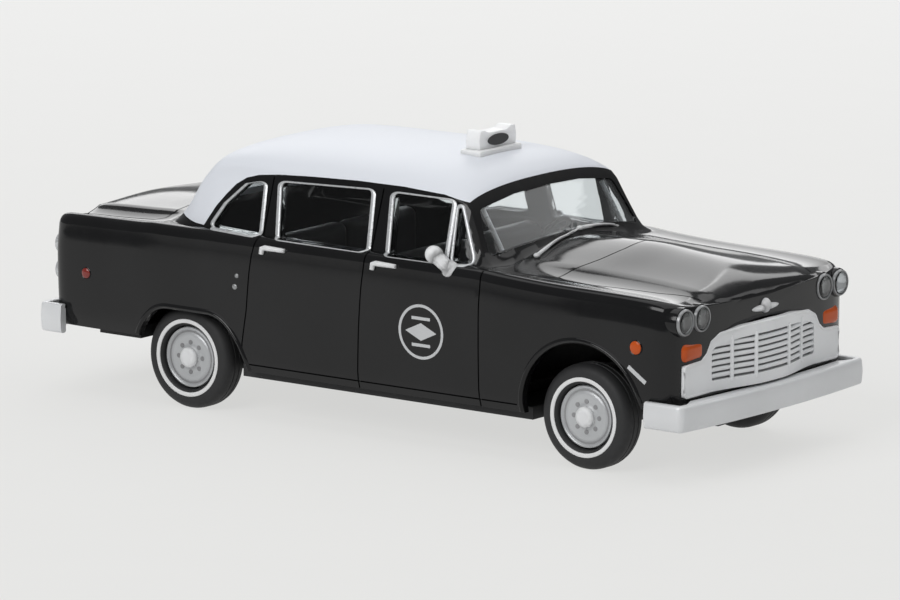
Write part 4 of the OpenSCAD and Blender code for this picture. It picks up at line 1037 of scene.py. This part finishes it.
def grille_bars():
    """Horizontal bars that follow the grille's face, stacked by geometry nodes."""
    front = GRILLE_FRONT - BAR_SET_BACK
    group, values = pattern_group("grille_bar_nodes", {
        "Rows": ("Int", BAR_COUNT), "Row Pitch": ("Float", BAR_PITCH * MM),
        "Bar Radius": ("Float", BAR_RADIUS * MM),
        "Left End": ("Vector", Vector((front, -BAR_HALF, BAR_LOWEST)) * MM),
        "Right End": ("Vector", Vector((front, BAR_HALF, BAR_LOWEST)) * MM),
        "Flat Half": ("Float", GRILLE_FLAT * MM), "Turn Half": ("Float", GRILLE_TURN * MM),
        "Slope": ("Float", -GRILLE_SLOPE * MM), "Bar Material": ("Material", GRILLE_SILVER),
    })
    given, result, line, finer, shift, where, split, across, fall, back = new_nodes(
        group, "NodeGroupInput", "NodeGroupOutput", "GeometryNodeCurvePrimitiveLine",
        "GeometryNodeResampleCurve", "GeometryNodeSetPosition", "GeometryNodeInputPosition",
        "ShaderNodeSeparateXYZ", "ShaderNodeMath", "ShaderNodeMapRange", "ShaderNodeCombineXYZ")
    profile, sweep, column, rise, place, real, paint = new_nodes(
        group, "GeometryNodeCurvePrimitiveCircle", "GeometryNodeCurveToMesh", "GeometryNodeMeshLine",
        "ShaderNodeCombineXYZ", "GeometryNodeInstanceOnPoints", "GeometryNodeRealizeInstances",
        "GeometryNodeSetMaterial")
    across.operation = "ABSOLUTE"
    fall.interpolation_type = "SMOOTHSTEP"
    give(finer, {"Count": BAR_POINTS})
    give(profile, {"Resolution": BAR_SIDES})
    give(sweep, {"Fill Caps": True})
    wire(
        group,
        (given, "Left End", line, "Start"), (given, "Right End", line, "End"),
        (line, "Curve", finer, "Curve"), (finer, "Curve", shift, "Geometry"),
        (where, "Position", split, "Vector"), (split, "Y", across, 0),
        (across, "Value", fall, "Value"), (given, "Flat Half", fall, "From Min"),
        (given, "Turn Half", fall, "From Max"), (given, "Slope", fall, "To Max"), (fall, "Result", back, "X"),
        (back, "Vector", shift, "Offset"), (given, "Bar Radius", profile, "Radius"),
        (shift, "Geometry", sweep, "Curve"), (profile, "Curve", sweep, "Profile Curve"),
        (given, "Rows", column, "Count"), (given, "Row Pitch", rise, "Z"), (rise, "Vector", column, "Offset"),
        (column, "Mesh", place, "Points"), (sweep, "Mesh", place, "Instance"),
        (place, "Instances", real, "Geometry"), (real, "Geometry", paint, "Geometry"),
        (given, "Bar Material", paint, "Material"), (paint, "Geometry", result, "Geometry"),
    )
    return placed_by_nodes("grille_bars", group, values)


def grille():
    blank = bowed_slab(0.0, GRILLE_THICK, GRILLE_HALF + PAST, GRILLE_LOW, GRILLE_HIGH)
    panel = loose_object("grille_panel", blank)
    for outline, corner, operation in (
        (GRILLE_OUTLINE, GRILLE_CORNER, "INTERSECT"), (GRILLE_OPENING, OPENING_CORNER, "DIFFERENCE"),
    ):
        combine(panel, prism(rounded(outline, corner), "x", GRILLE_BACK, GRILLE_PAST), operation)
    finish_piece(panel, GRILLE_SILVER, nodes=["grille"])
    edge = [on_grille(y, z, RIM_LIFT) for y, z in rounded(grown(GRILLE_OUTLINE, RIM_INSET), RIM_CORNER)]
    piece("grille_rim", rod(edge, RIM_RADIUS, closed=True), GRILLE_SILVER)
    posts = [rod([on_grille(y, z, POST_LIFT) for z in POST_HEIGHTS], POST_RADIUS) for y in POST_PLACES]
    piece("grille_posts", joined(*posts), GRILLE_SILVER)
    finish_piece(grille_bars(), GRILLE_SILVER)
    # Grey slab behind the bars: painted shade between them.
    slots = bowed_slab(BACK_SET_BACK, BACK_THICK, BACK_HALF, BACK_LOW, BACK_HIGH)
    piece("grille_back", slots, GRILLE_SLOT_SHADE)


# Lamps: profiles hold (radius, distance out); those of bezel, socket and marker rim start from a radius

LAMP_SEGMENTS, MARKER_SEGMENTS = 48, 40
BEZEL = [
    (0, -1.0), (0, -0.08), (-0.02, 0.0), (-0.07, 0.04), (-0.12, 0.02), (-0.15, -0.05), (-0.16, -0.4),
    (-0.16, -1.0),
]
LAMP_SOCKET = [(-0.02, -1.4), (0.1, -1.4), (0.1, -0.3), (0.07, -0.2), (-0.02, -0.18)]
HEADLAMP_LENS = [(0.0, -0.12), (0.76, -0.12)] + dome(0.76, -0.06, 0.16, 9)
HEADLAMP_BOWL = [(0.0, -0.75), (0.77, -0.75), (0.77, -0.14)] + dome(0.76, -0.14, -0.45, 9)
SIGNAL_SET_BACK, SIGNAL_OUT, SIGNAL_ROUND = 0.15, Vector((0.12, 0, 0)), 0.48
SIGNAL_RIM_LOW, SIGNAL_RIM_HIGH, SIGNAL_RIM_ROUND = Vector((0, 0.08, 0.12)), Vector((-0.22, 0.08, 0.05)), 0.4
MARKERS = (("front", 0.47, AMBER, "amber"), ("rear", 0.38, RED, "red"))  # end, lens radius, material, slot
MARKER_DEPTH, MARKER_BASE, MARKER_HEIGHT, MARKER_POINTS = 0.4, 0.02, 0.13, 8
MARKER_RIM = [(-0.01, -0.2), (0.08, -0.2), (0.07, 0.03), (0.04, 0.05), (0, 0.03)]
TAIL_LENS = [(0.0, -0.9), (0.68, -0.9)] + dome(0.68, -0.1, 0.3, 9)
TAIL_RIM = [(0.66, -0.9), (0.8, -0.9), (0.8, -0.05), (0.76, 0.04), (0.70, 0.02), (0.66, -0.08)]


def started_from(radius, profile):
    return [(radius + more, out) for more, out in profile]


def headlamps():
    for _, name in SIDES:
        low, high = node_box(f"headlamp_bezels_{name}")
        z, r = (low.z + high.z) / 2, (high.z - low.z) / 2
        centres = [(high.x, y, z) for y in (low.y + r, high.y - r)]

        def pair(profile):
            return joined(*[lathe(profile, centre, "x", 1, LAMP_SEGMENTS) for centre in centres])

        piece(f"headlamp_bezels_{name}_ring", pair(started_from(r, BEZEL)), BEZEL_GREY,
              nodes=[f"headlamp_bezels_{name}"])
        piece(f"headlamp_lenses_{name}_dome", pair(HEADLAMP_LENS), LENS,
              nodes=[f"headlamp_lenses_{name}"])
        piece(f"headlamp_bowls_{name}", pair(HEADLAMP_BOWL), REFLECTOR)
        piece(f"headlamp_sockets_{name}", pair(started_from(r, LAMP_SOCKET)), BLACK_GLOSS)


def turn_signal(name):
    low, high = node_box(f"turn_signal_{name}")
    low.x += SIGNAL_SET_BACK
    piece(f"turn_signal_{name}_lens", block(low, high + SIGNAL_OUT, SIGNAL_ROUND, 6), AMBER,
          nodes=[f"turn_signal_{name}"], sharp=60)
    rim = block(low - SIGNAL_RIM_LOW, high + SIGNAL_RIM_HIGH, SIGNAL_RIM_ROUND, 5)
    piece(f"turn_signal_{name}_rim", rim, BLACK_GLOSS, sharp=60)


def side_markers(side, name):
    for end, radius, material, slot in MARKERS:
        node = f"{end}_marker_{name}"
        low, high = node_box(node)
        centre = ((low.x + high.x) / 2, high.y if side > 0 else low.y, (low.z + high.z) / 2)
        skin = abs(on_side(centre[0], centre[2]).y) - abs(centre[1])
        lens = [(0.0, skin - MARKER_DEPTH), (radius, skin - MARKER_DEPTH)]
        lens += dome(radius, skin + MARKER_BASE, MARKER_HEIGHT, MARKER_POINTS)
        piece(f"{node}_lens", lathe(lens, centre, "y", side, MARKER_SEGMENTS), material,
              nodes=[node])
        rim = [(r, skin + up) for r, up in started_from(radius, MARKER_RIM)]
        piece(f"{node}_rim", lathe(rim, centre, "y", side, MARKER_SEGMENTS), BLACK_GLOSS)


def tail_lamps(name):
    low, high = node_box(f"tail_lamps_{name}")
    r = (high.y - low.y) / 2
    centres = [(low.x, (low.y + high.y) / 2, z) for z in (low.z + r, high.z - r)]
    lens, rim = (
        joined(*[lathe(profile, centre, "x", -1, LAMP_SEGMENTS) for centre in centres])
        for profile in (TAIL_LENS, TAIL_RIM)
    )
    piece(f"tail_lamps_{name}_lens", lens, RED, nodes=[f"tail_lamps_{name}"])
    piece(f"tail_lamps_{name}_rim", rim, BRIGHT_TRIM)


def small_lamps():
    for side, name in SIDES:
        turn_signal(name)
        side_markers(side, name)
        tail_lamps(name)


# Handles, mirror, tail fittings, hood stud, wipers and roof sign

GRIP_LENGTH, GRIP_LIFT, GRIP_RADII, GRIP_FLAT = 2.1, 0.13, [0.15, 0.19, 0.2, 0.16], 1.05
GRIP_HOOK = [(0.35, 0.02), (0.12, -0.05), (0.05, -0.45)]  # past the first end, above the middle
GRIP_FOOT_LAST, GRIP_FOOT_FIRST, GRIP_FOOT_RADIUS = 0.15, 0.3, 0.1
GRIP_FOOT_LIFTS = (-0.2, 0.12)
MIRROR_FOOT, MIRROR_HEAD, MIRROR_TURN = Vector((8.3, -10.3, 12.8)), Vector((6.95, -10.48, 13.8)), (0, 30, 20)
MIRROR_ARM, MIRROR_CUP, MIRROR_PAD = [0.52, 0.5, 0.52], (0.66, 0.56, 0.64), (0.72, 0.5, 0.66)  # radii
PLATE_OUT, PLATE_IN, PLATE_HALF, PLATE_LOW, PLATE_HIGH, PLATE_ROUND = 0.1, 0.3, 1.75, 8.0, 9.75, 0.06
PLATE_EDGE, PLATE_CORNER, PLATE_EDGE_RADIUS = [(-1.7, 8.05), (1.7, 8.05), (1.7, 9.7), (-1.7, 9.7)], 0.2, 0.09
HANDLE_Z, HANDLE_HALF, HANDLE_OUT, HANDLE_BOW = 10.95, 1.2, 0.22, 0.06
HANDLE_RADII = [0.1, 0.16] + [0.18] * 5 + [0.16, 0.1]
HANDLE_FOOT_Y, HANDLE_FOOT_IN, HANDLE_FOOT_OUT, HANDLE_FOOT_RADIUS = 0.85, 0.2, 0.25, 0.12
LOCK_Z, LOCK_RADII = 10.45, (0.12, 0.2, 0.2)
STUD_WING, STUD_WING_RADII = Vector((-0.02, 0, -0.04)), (0.26, 1.6, 0.24)
STUD_BOSS, STUD_BOSS_RADII = Vector((0, 0, 0.08)), (0.34, 0.5, 0.52)
WIPERS = [((12.2, -5.6), (11.15, 0.6)), ((11.15, 0.9), (11.1, 5.5))]  # pivot and tip, seen from above
WIPER_POINTS, ARM_SPAN, BLADE_SPAN, ARM_LIFT, BLADE_LIFT = 10, (0, 0.9), (0.3, 1.0), 0.14, 0.1
ARM_RADIUS, ARM_TAPER, BLADE_RADIUS, BLADE_FLAT, PIVOT_RADII = 0.15, 0.008, 0.09, 0.7, (0.24, 0.24, 0.18)
PILLAR, PILLAR_RADIUS = [(8.45, 6.98, 16.7), (9.5, 7.0, 15.05), (10.55, 7.02, 13.3)], 0.17
SIGN_BASE_HALF, SIGN_BASE_HEIGHT, SIGN_BASE_ROUND, SIGN_BOX_HALF, SIGN_CORNER = 0.9, 0.62, 0.16, 0.6, 0.25
SIGN_HALF = [(2.1, 0.4), (2.15, 1.3), (2.0, 1.98), (1.5, 1.95), (1.05, 1.74)]  # seen from the front
SIGN_PANE_Z, SIGN_PANE_WIDE, SIGN_PANE_HIGH = 1.17, 1.2, 0.4
SIGN_PANE_SPAN, SIGN_PANE_POINTS = (0.55, 0.66), 40


def door_handles(side, name):
    low, high = node_box(f"door_handles_{name}")
    z = (low.z + high.z) / 2

    def lifted(x, height, lift):
        p = on_side(x, height, lift)
        return p.x, side * p.y, p.z

    grips = []
    for first, last in ((low.x, low.x + GRIP_LENGTH), (high.x - GRIP_LENGTH, high.x)):
        bar = [(last, z)] + [(first + x, z + up) for x, up in GRIP_HOOK]
        grips.append(rod([lifted(x, h, GRIP_LIFT) for x, h in bar], GRIP_RADII, flat=GRIP_FLAT))
        for x in (last - GRIP_FOOT_LAST, first + GRIP_FOOT_FIRST):
            grips.append(rod([lifted(x, z, lift) for lift in GRIP_FOOT_LIFTS], GRIP_FOOT_RADIUS))
    piece(f"door_handles_{name}_grip", joined(*grips), WHITE_TRIM, nodes=[f"door_handles_{name}"])


def door_fittings():
    """Handles on all doors, and the one mirror."""
    for side, name in SIDES:
        door_handles(side, name)
    arm = rod([MIRROR_FOOT, MIRROR_FOOT.lerp(MIRROR_HEAD, 0.5), MIRROR_HEAD], MIRROR_ARM)
    cup, pad = egg(MIRROR_HEAD, MIRROR_CUP, MIRROR_TURN), egg(MIRROR_FOOT, MIRROR_PAD, MIRROR_TURN)
    piece("mirror_right_cup", joined(cup, arm, pad), WHITE_TRIM,
          nodes=["mirror_right"])


def tail_fittings():
    """Trunk handle and a blank plate on the tail."""
    plate = block(
        (TAIL - PLATE_OUT, -PLATE_HALF, PLATE_LOW), (TAIL + PLATE_IN, PLATE_HALF, PLATE_HIGH), PLATE_ROUND)
    edge = [(TAIL - PLATE_OUT, y, z) for y, z in rounded(PLATE_EDGE, PLATE_CORNER)]
    rim = rod(edge, PLATE_EDGE_RADIUS, closed=True)
    piece("rear_plate_blank", joined(plate, rim), PRINTED_SILVER)
    grip = [
        (TAIL - HANDLE_OUT - HANDLE_BOW * math.cos(y), y, HANDLE_Z)
        for y in np.linspace(-HANDLE_HALF, HANDLE_HALF, len(HANDLE_RADII))
    ]
    parts = [rod(grip, HANDLE_RADII)]
    for y in (-HANDLE_FOOT_Y, HANDLE_FOOT_Y):
        foot = [(TAIL + HANDLE_FOOT_IN, y, HANDLE_Z), (TAIL - HANDLE_FOOT_OUT, y, HANDLE_Z)]
        parts.append(rod(foot, HANDLE_FOOT_RADIUS))
    parts.append(egg((TAIL, 0, LOCK_Z), LOCK_RADII))
    piece("trunk_handle", joined(*parts), WHITE_TRIM)


def hood_stud():
    low, high = node_box("hood_stud")
    seat = Vector((low.x, 0, (low.z + high.z) / 2))
    wing, boss = egg(seat + STUD_WING, STUD_WING_RADII), egg(seat + STUD_BOSS, STUD_BOSS_RADII)
    piece("hood_stud_wing", joined(wing, boss), WHITE_TRIM, nodes=["hood_stud"])


def wipers():
    """Two arms with blades that rest on the windscreen, and the bright pillars just behind it."""
    parts = []
    for (pivot_x, pivot_y), (tip_x, tip_y) in WIPERS:

        def line(span, lift):
            return [on_deck(pivot_x + (tip_x - pivot_x) * t, pivot_y + (tip_y - pivot_y) * t, lift)
                    for t in np.linspace(*span, WIPER_POINTS)]

        arm = line(ARM_SPAN, ARM_LIFT)
        parts.append(rod(arm, [ARM_RADIUS - ARM_TAPER * k for k in range(WIPER_POINTS)]))
        parts.append(rod(line(BLADE_SPAN, BLADE_LIFT), BLADE_RADIUS, flat=BLADE_FLAT))
        parts.append(egg(arm[0], PIVOT_RADII))
    piece("wiper_arms", joined(*parts), WHITE_TRIM)
    pillars = [rod([(x, side * y, z) for x, y, z in PILLAR], PILLAR_RADIUS) for side, _ in SIDES]
    piece("windscreen_pillar_trim", joined(*pillars), BRIGHT_TRIM)


def roof_sign():
    low, high = node_box("roof_sign")
    x, half = (low.x + high.x) / 2, (high.y - low.y) / 2
    foot = (x - SIGN_BASE_HALF, -half, low.z)
    base = block(foot, (x + SIGN_BASE_HALF, half, low.z + SIGN_BASE_HEIGHT), SIGN_BASE_ROUND, 4)
    front = [(y, low.z + z) for y, z in both_halves(SIGN_HALF, mirrored=0)]
    box = prism(rounded(front, SIGN_CORNER), "x", x - SIGN_BOX_HALF, x + SIGN_BOX_HALF)
    piece("roof_sign_box", joined(base, box), SIGN_WHITE, nodes=["roof_sign"], sharp=45)
    oval = [
        (SIGN_PANE_WIDE * math.cos(t), low.z + SIGN_PANE_Z + SIGN_PANE_HIGH * math.sin(t))
        for t in around(SIGN_PANE_POINTS)
    ]
    panes = [prism(oval, "x", *sorted(x + sign * out for out in SIGN_PANE_SPAN)) for sign in (1, -1)]
    piece("roof_sign_dark_panes", joined(*panes), DARK_RECESS)


# Cabin and underside

CABIN_FLOOR, CABIN_ROUND = 0.7, 0.1
REAR_BENCH_IN, FRONT_BENCH_X = 0.17, 1.16  # the first counts from the moulding's back end
BENCH_INSET, BENCH_FOOT, BENCH_LENGTH, BENCH_TOP, BENCH_ROUND = 0.7, 0.3, 4.6, 8.2, 0.6
BACKREST_GAP, BACKREST_FOOT, BACKREST_THICK, BACKREST_TOP = 0.05, 0.4, 1.5, 12.9
DASHBOARD_X, DASHBOARD_BEHIND, DASHBOARD_AHEAD, DASHBOARD_LOW, DASHBOARD_HIGH = 9.6, 0.7, 0.9, 9.8, 12.7
DASHBOARD_ROUND, FIREWALL_THICK, FIREWALL_FOOT, FIREWALL_TOP = 0.45, 0.7, 0.2, 10.2
HUB_AHEAD, HUB_DROP, STEERING_LEAN, STEERING_RADIUS, STEERING_POINTS = 0.95, 1.55, 30, 1.6, 48
STEERING_SPOKES, SPOKE_RADIUS, STEERING_RIM_RADIUS = (0, 24, 36), 0.12, 0.16  # spokes by point of the rim
COLUMN_LENGTH, COLUMN_RADIUS = 2.6, 0.26


def cabin():
    low, high = node_box("interior")
    half, seat_half = high.y, high.y - BENCH_INSET
    parts = [block((low.x, -half, low.z), (high.x, half, low.z + CABIN_FLOOR), CABIN_ROUND)]
    for back in (low.x + REAR_BENCH_IN, FRONT_BENCH_X):
        seat = (back, -seat_half, low.z + BENCH_FOOT), (back + BENCH_LENGTH, seat_half, BENCH_TOP)
        parts.append(block(*seat, BENCH_ROUND, 4))
        for first, last in ((-seat_half, -BACKREST_GAP), (BACKREST_GAP, seat_half)):
            rest = (back, first, low.z + BACKREST_FOOT), (back + BACKREST_THICK, last, BACKREST_TOP)
            parts.append(block(*rest, BENCH_ROUND, 4))
    dash_back, dash_front = DASHBOARD_X - DASHBOARD_BEHIND, DASHBOARD_X + DASHBOARD_AHEAD
    dashboard = (dash_back, -half, DASHBOARD_LOW), (dash_front, half, DASHBOARD_HIGH)
    parts.append(block(*dashboard, DASHBOARD_ROUND, 4))
    firewall = (DASHBOARD_X, -half, low.z + FIREWALL_FOOT), (DASHBOARD_X + FIREWALL_THICK, half, FIREWALL_TOP)
    parts.append(block(*firewall, CABIN_ROUND))
    piece("cabin_moulding", joined(*parts), CABIN_PLASTIC, nodes=["interior"])


def steering_wheel():
    low, high = node_box("steering_wheel")
    hub = Vector((low.x + HUB_AHEAD, (low.y + high.y) / 2, high.z - HUB_DROP))
    lean = Vector((-math.cos(math.radians(STEERING_LEAN)), 0, math.sin(math.radians(STEERING_LEAN))))
    up, across = Vector((lean.z, 0, -lean.x)) * STEERING_RADIUS, Vector((0, STEERING_RADIUS, 0))
    rim = [hub + up * math.sin(t) + across * math.cos(t) for t in around(STEERING_POINTS)]
    spokes = [rod([hub, rim[i]], SPOKE_RADIUS) for i in STEERING_SPOKES]
    column = rod([hub, hub - lean * COLUMN_LENGTH], COLUMN_RADIUS)
    piece("steering_wheel_rim", joined(rod(rim, STEERING_RIM_RADIUS, closed=True), *spokes, column),
          CABIN_PLASTIC, nodes=["steering_wheel"])


CARRIED = {"chassis": CHASSIS_PLASTIC, "exhaust": STEEL, "front_axle": STEEL, "rear_axle": STEEL}


def carried_nodes():
    """CAD nodes that are shown as they are get the model's own materials."""
    for node, material in CARRIED.items():
        mesh = frame["nodes"][node].data
        mesh.materials.clear()
        mesh.materials.append(material)


body_moulding()
roof_moulding()
glazing()
side_trim()
wheels()
bumper("front_bumper_bar", "front_bumper", 1, wrap=3.8, shelf=0.6)
bumper("rear_bumper_bar", "rear_bumper", -1, wrap=2.7, shelf=0.3)
grille()
headlamps()
small_lamps()
door_fittings()
tail_fittings()
hood_stud()
wipers()
roof_sign()
cabin()
steering_wheel()
carried_nodes()

# Stage: pale floor, soft light, camera at the photo's place

CAMERA_AZIMUTH, CAMERA_ELEVATION = 37.16, 10.79
CAMERA_PLACE = (331.78, -437.23, 112.81)
CAMERA_LENS, CAMERA_SENSOR, CAMERA_CLIP = 314.6, 36.0, (0.01, 20.0)
FLOOR_HALF, FLOOR_COLOUR, FLOOR_ROUGHNESS = 3000, (0.80, 0.80, 0.795), 0.9
FLOOR_NEAR, FLOOR_FAR = (0.8, 0.8, 0.787), (0.99, 0.99, 0.985)  # painted light: glow in front of and behind the car, brighter behind it
FLOOR_FADE = (-1.5, 2.0, 0.0)  # from near to far, in shares per metre
FLOOR_OWN_SHARE = 0.8
STUDIO_COLOUR, STUDIO_STRENGTH = (0.97, 0.985, 1.0, 1), 0.22
SOFTBOXES = [  # name; place, aim, width and height in metres; watts
    ("overhead_softbox", (0.05, 0.10, 0.75), (0, 0, 0), 1.0, 1.0, 3.3),
    ("hood_softbox", (-0.195, 0.643, 0.438), (0.02, 0, 0.014), 0.227, 0.14, 0.24),
    ("rear_softbox", (-0.478, 0.55, 0.346), (0, 0, 0.014), 0.37, 0.444, 1.1),
    ("right_softbox", (-0.02, -0.62, 0.42), (0, 0, 0.01), 0.5, 0.35, 2.7),
    ("front_softbox", (0.366, 0.543, 0.459), (0, 0, 0.01), 0.35, 0.25, 0.33),
]


def camera():
    data = bpy.data.cameras.new("photo_camera")
    data.lens = CAMERA_LENS
    data.sensor_width = CAMERA_SENSOR
    data.clip_start, data.clip_end = CAMERA_CLIP
    obj = bpy.data.objects.new("photo_camera", data)
    bpy.context.scene.collection.objects.link(obj)
    obj.location = [c * MM for c in CAMERA_PLACE]
    obj.rotation_euler = (math.radians(90 - CAMERA_ELEVATION), 0, math.radians(CAMERA_AZIMUTH))
    bpy.context.scene.camera = obj


def floor_material():
    """Pale floor: a glow of painted light, brighter behind the car than in front, is part of what is seen of
    it, and the rest keeps the shadow.
    """
    material = surface("pale_floor", FLOOR_COLOUR, FLOOR_ROUGHNESS, spread=0.01, bump=0.0)
    tree = material.node_tree
    shader, result = tree.nodes["Principled BSDF"], tree.nodes["Material Output"]
    glow, mix, path, place, depth, shade, direct, seen, share = new_nodes(
        tree, "ShaderNodeEmission", "ShaderNodeMixShader", "ShaderNodeLightPath", "ShaderNodeTexCoord",
        "ShaderNodeVectorMath", "ShaderNodeValToRGB", "ShaderNodeMath", "ShaderNodeMath", "ShaderNodeMath")
    direct.operation = seen.operation = "MAXIMUM"
    depth.operation, share.operation = "DOT_PRODUCT", "MULTIPLY"
    give(shader, {"Specular IOR Level": 0.0})
    give(depth, {1: FLOOR_FADE})
    give(share, {1: FLOOR_OWN_SHARE})
    for stop, colour in zip(shade.color_ramp.elements, (FLOOR_NEAR, FLOOR_FAR)):
        stop.color = (*colour, 1)
    wire(
        tree,
        (place, "Object", depth, 0), (depth, "Value", shade, "Fac"), (shade, "Color", glow, "Color"),
        (path, "Is Camera Ray", direct, 0), (path, "Is Glossy Ray", direct, 1), (direct, "Value", seen, 0),
        (path, "Is Transmission Ray", seen, 1), (seen, "Value", share, 0), (share, "Value", mix, "Fac"),
        (shader, "BSDF", mix, 1), (glow, "Emission", mix, 2), (mix, "Shader", result, "Surface"),
    )
    return material


def soft_light(name, place, aim, width, height, power):
    light = bpy.data.lights.new(name, "AREA")
    light.shape = "RECTANGLE"
    light.size, light.size_y = width, height
    light.energy = power
    lamp = bpy.data.objects.new(name, light)
    lamp.location = place
    lamp.rotation_euler = (Vector(aim) - Vector(place)).to_track_quat("-Z", "Y").to_euler()
    bpy.context.scene.collection.objects.link(lamp)


def stage():
    world = bpy.data.worlds.new("studio")
    bpy.context.scene.world = world
    world.use_nodes = True
    give(world.node_tree.nodes["Background"], {"Color": STUDIO_COLOUR, "Strength": STUDIO_STRENGTH})
    ends = [(FLOOR_HALF * x, FLOOR_HALF * y, 0) for x, y in ((-1, -1), (1, -1), (1, 1), (-1, 1))]
    floor = loose_object("floor", (ends, [(0, 1, 2, 3)]))
    floor.data.materials.append(floor_material())
    for softbox in SOFTBOXES:
        soft_light(*softbox)


camera()
stage()
bpy.context.scene.view_settings.view_transform = "Standard"
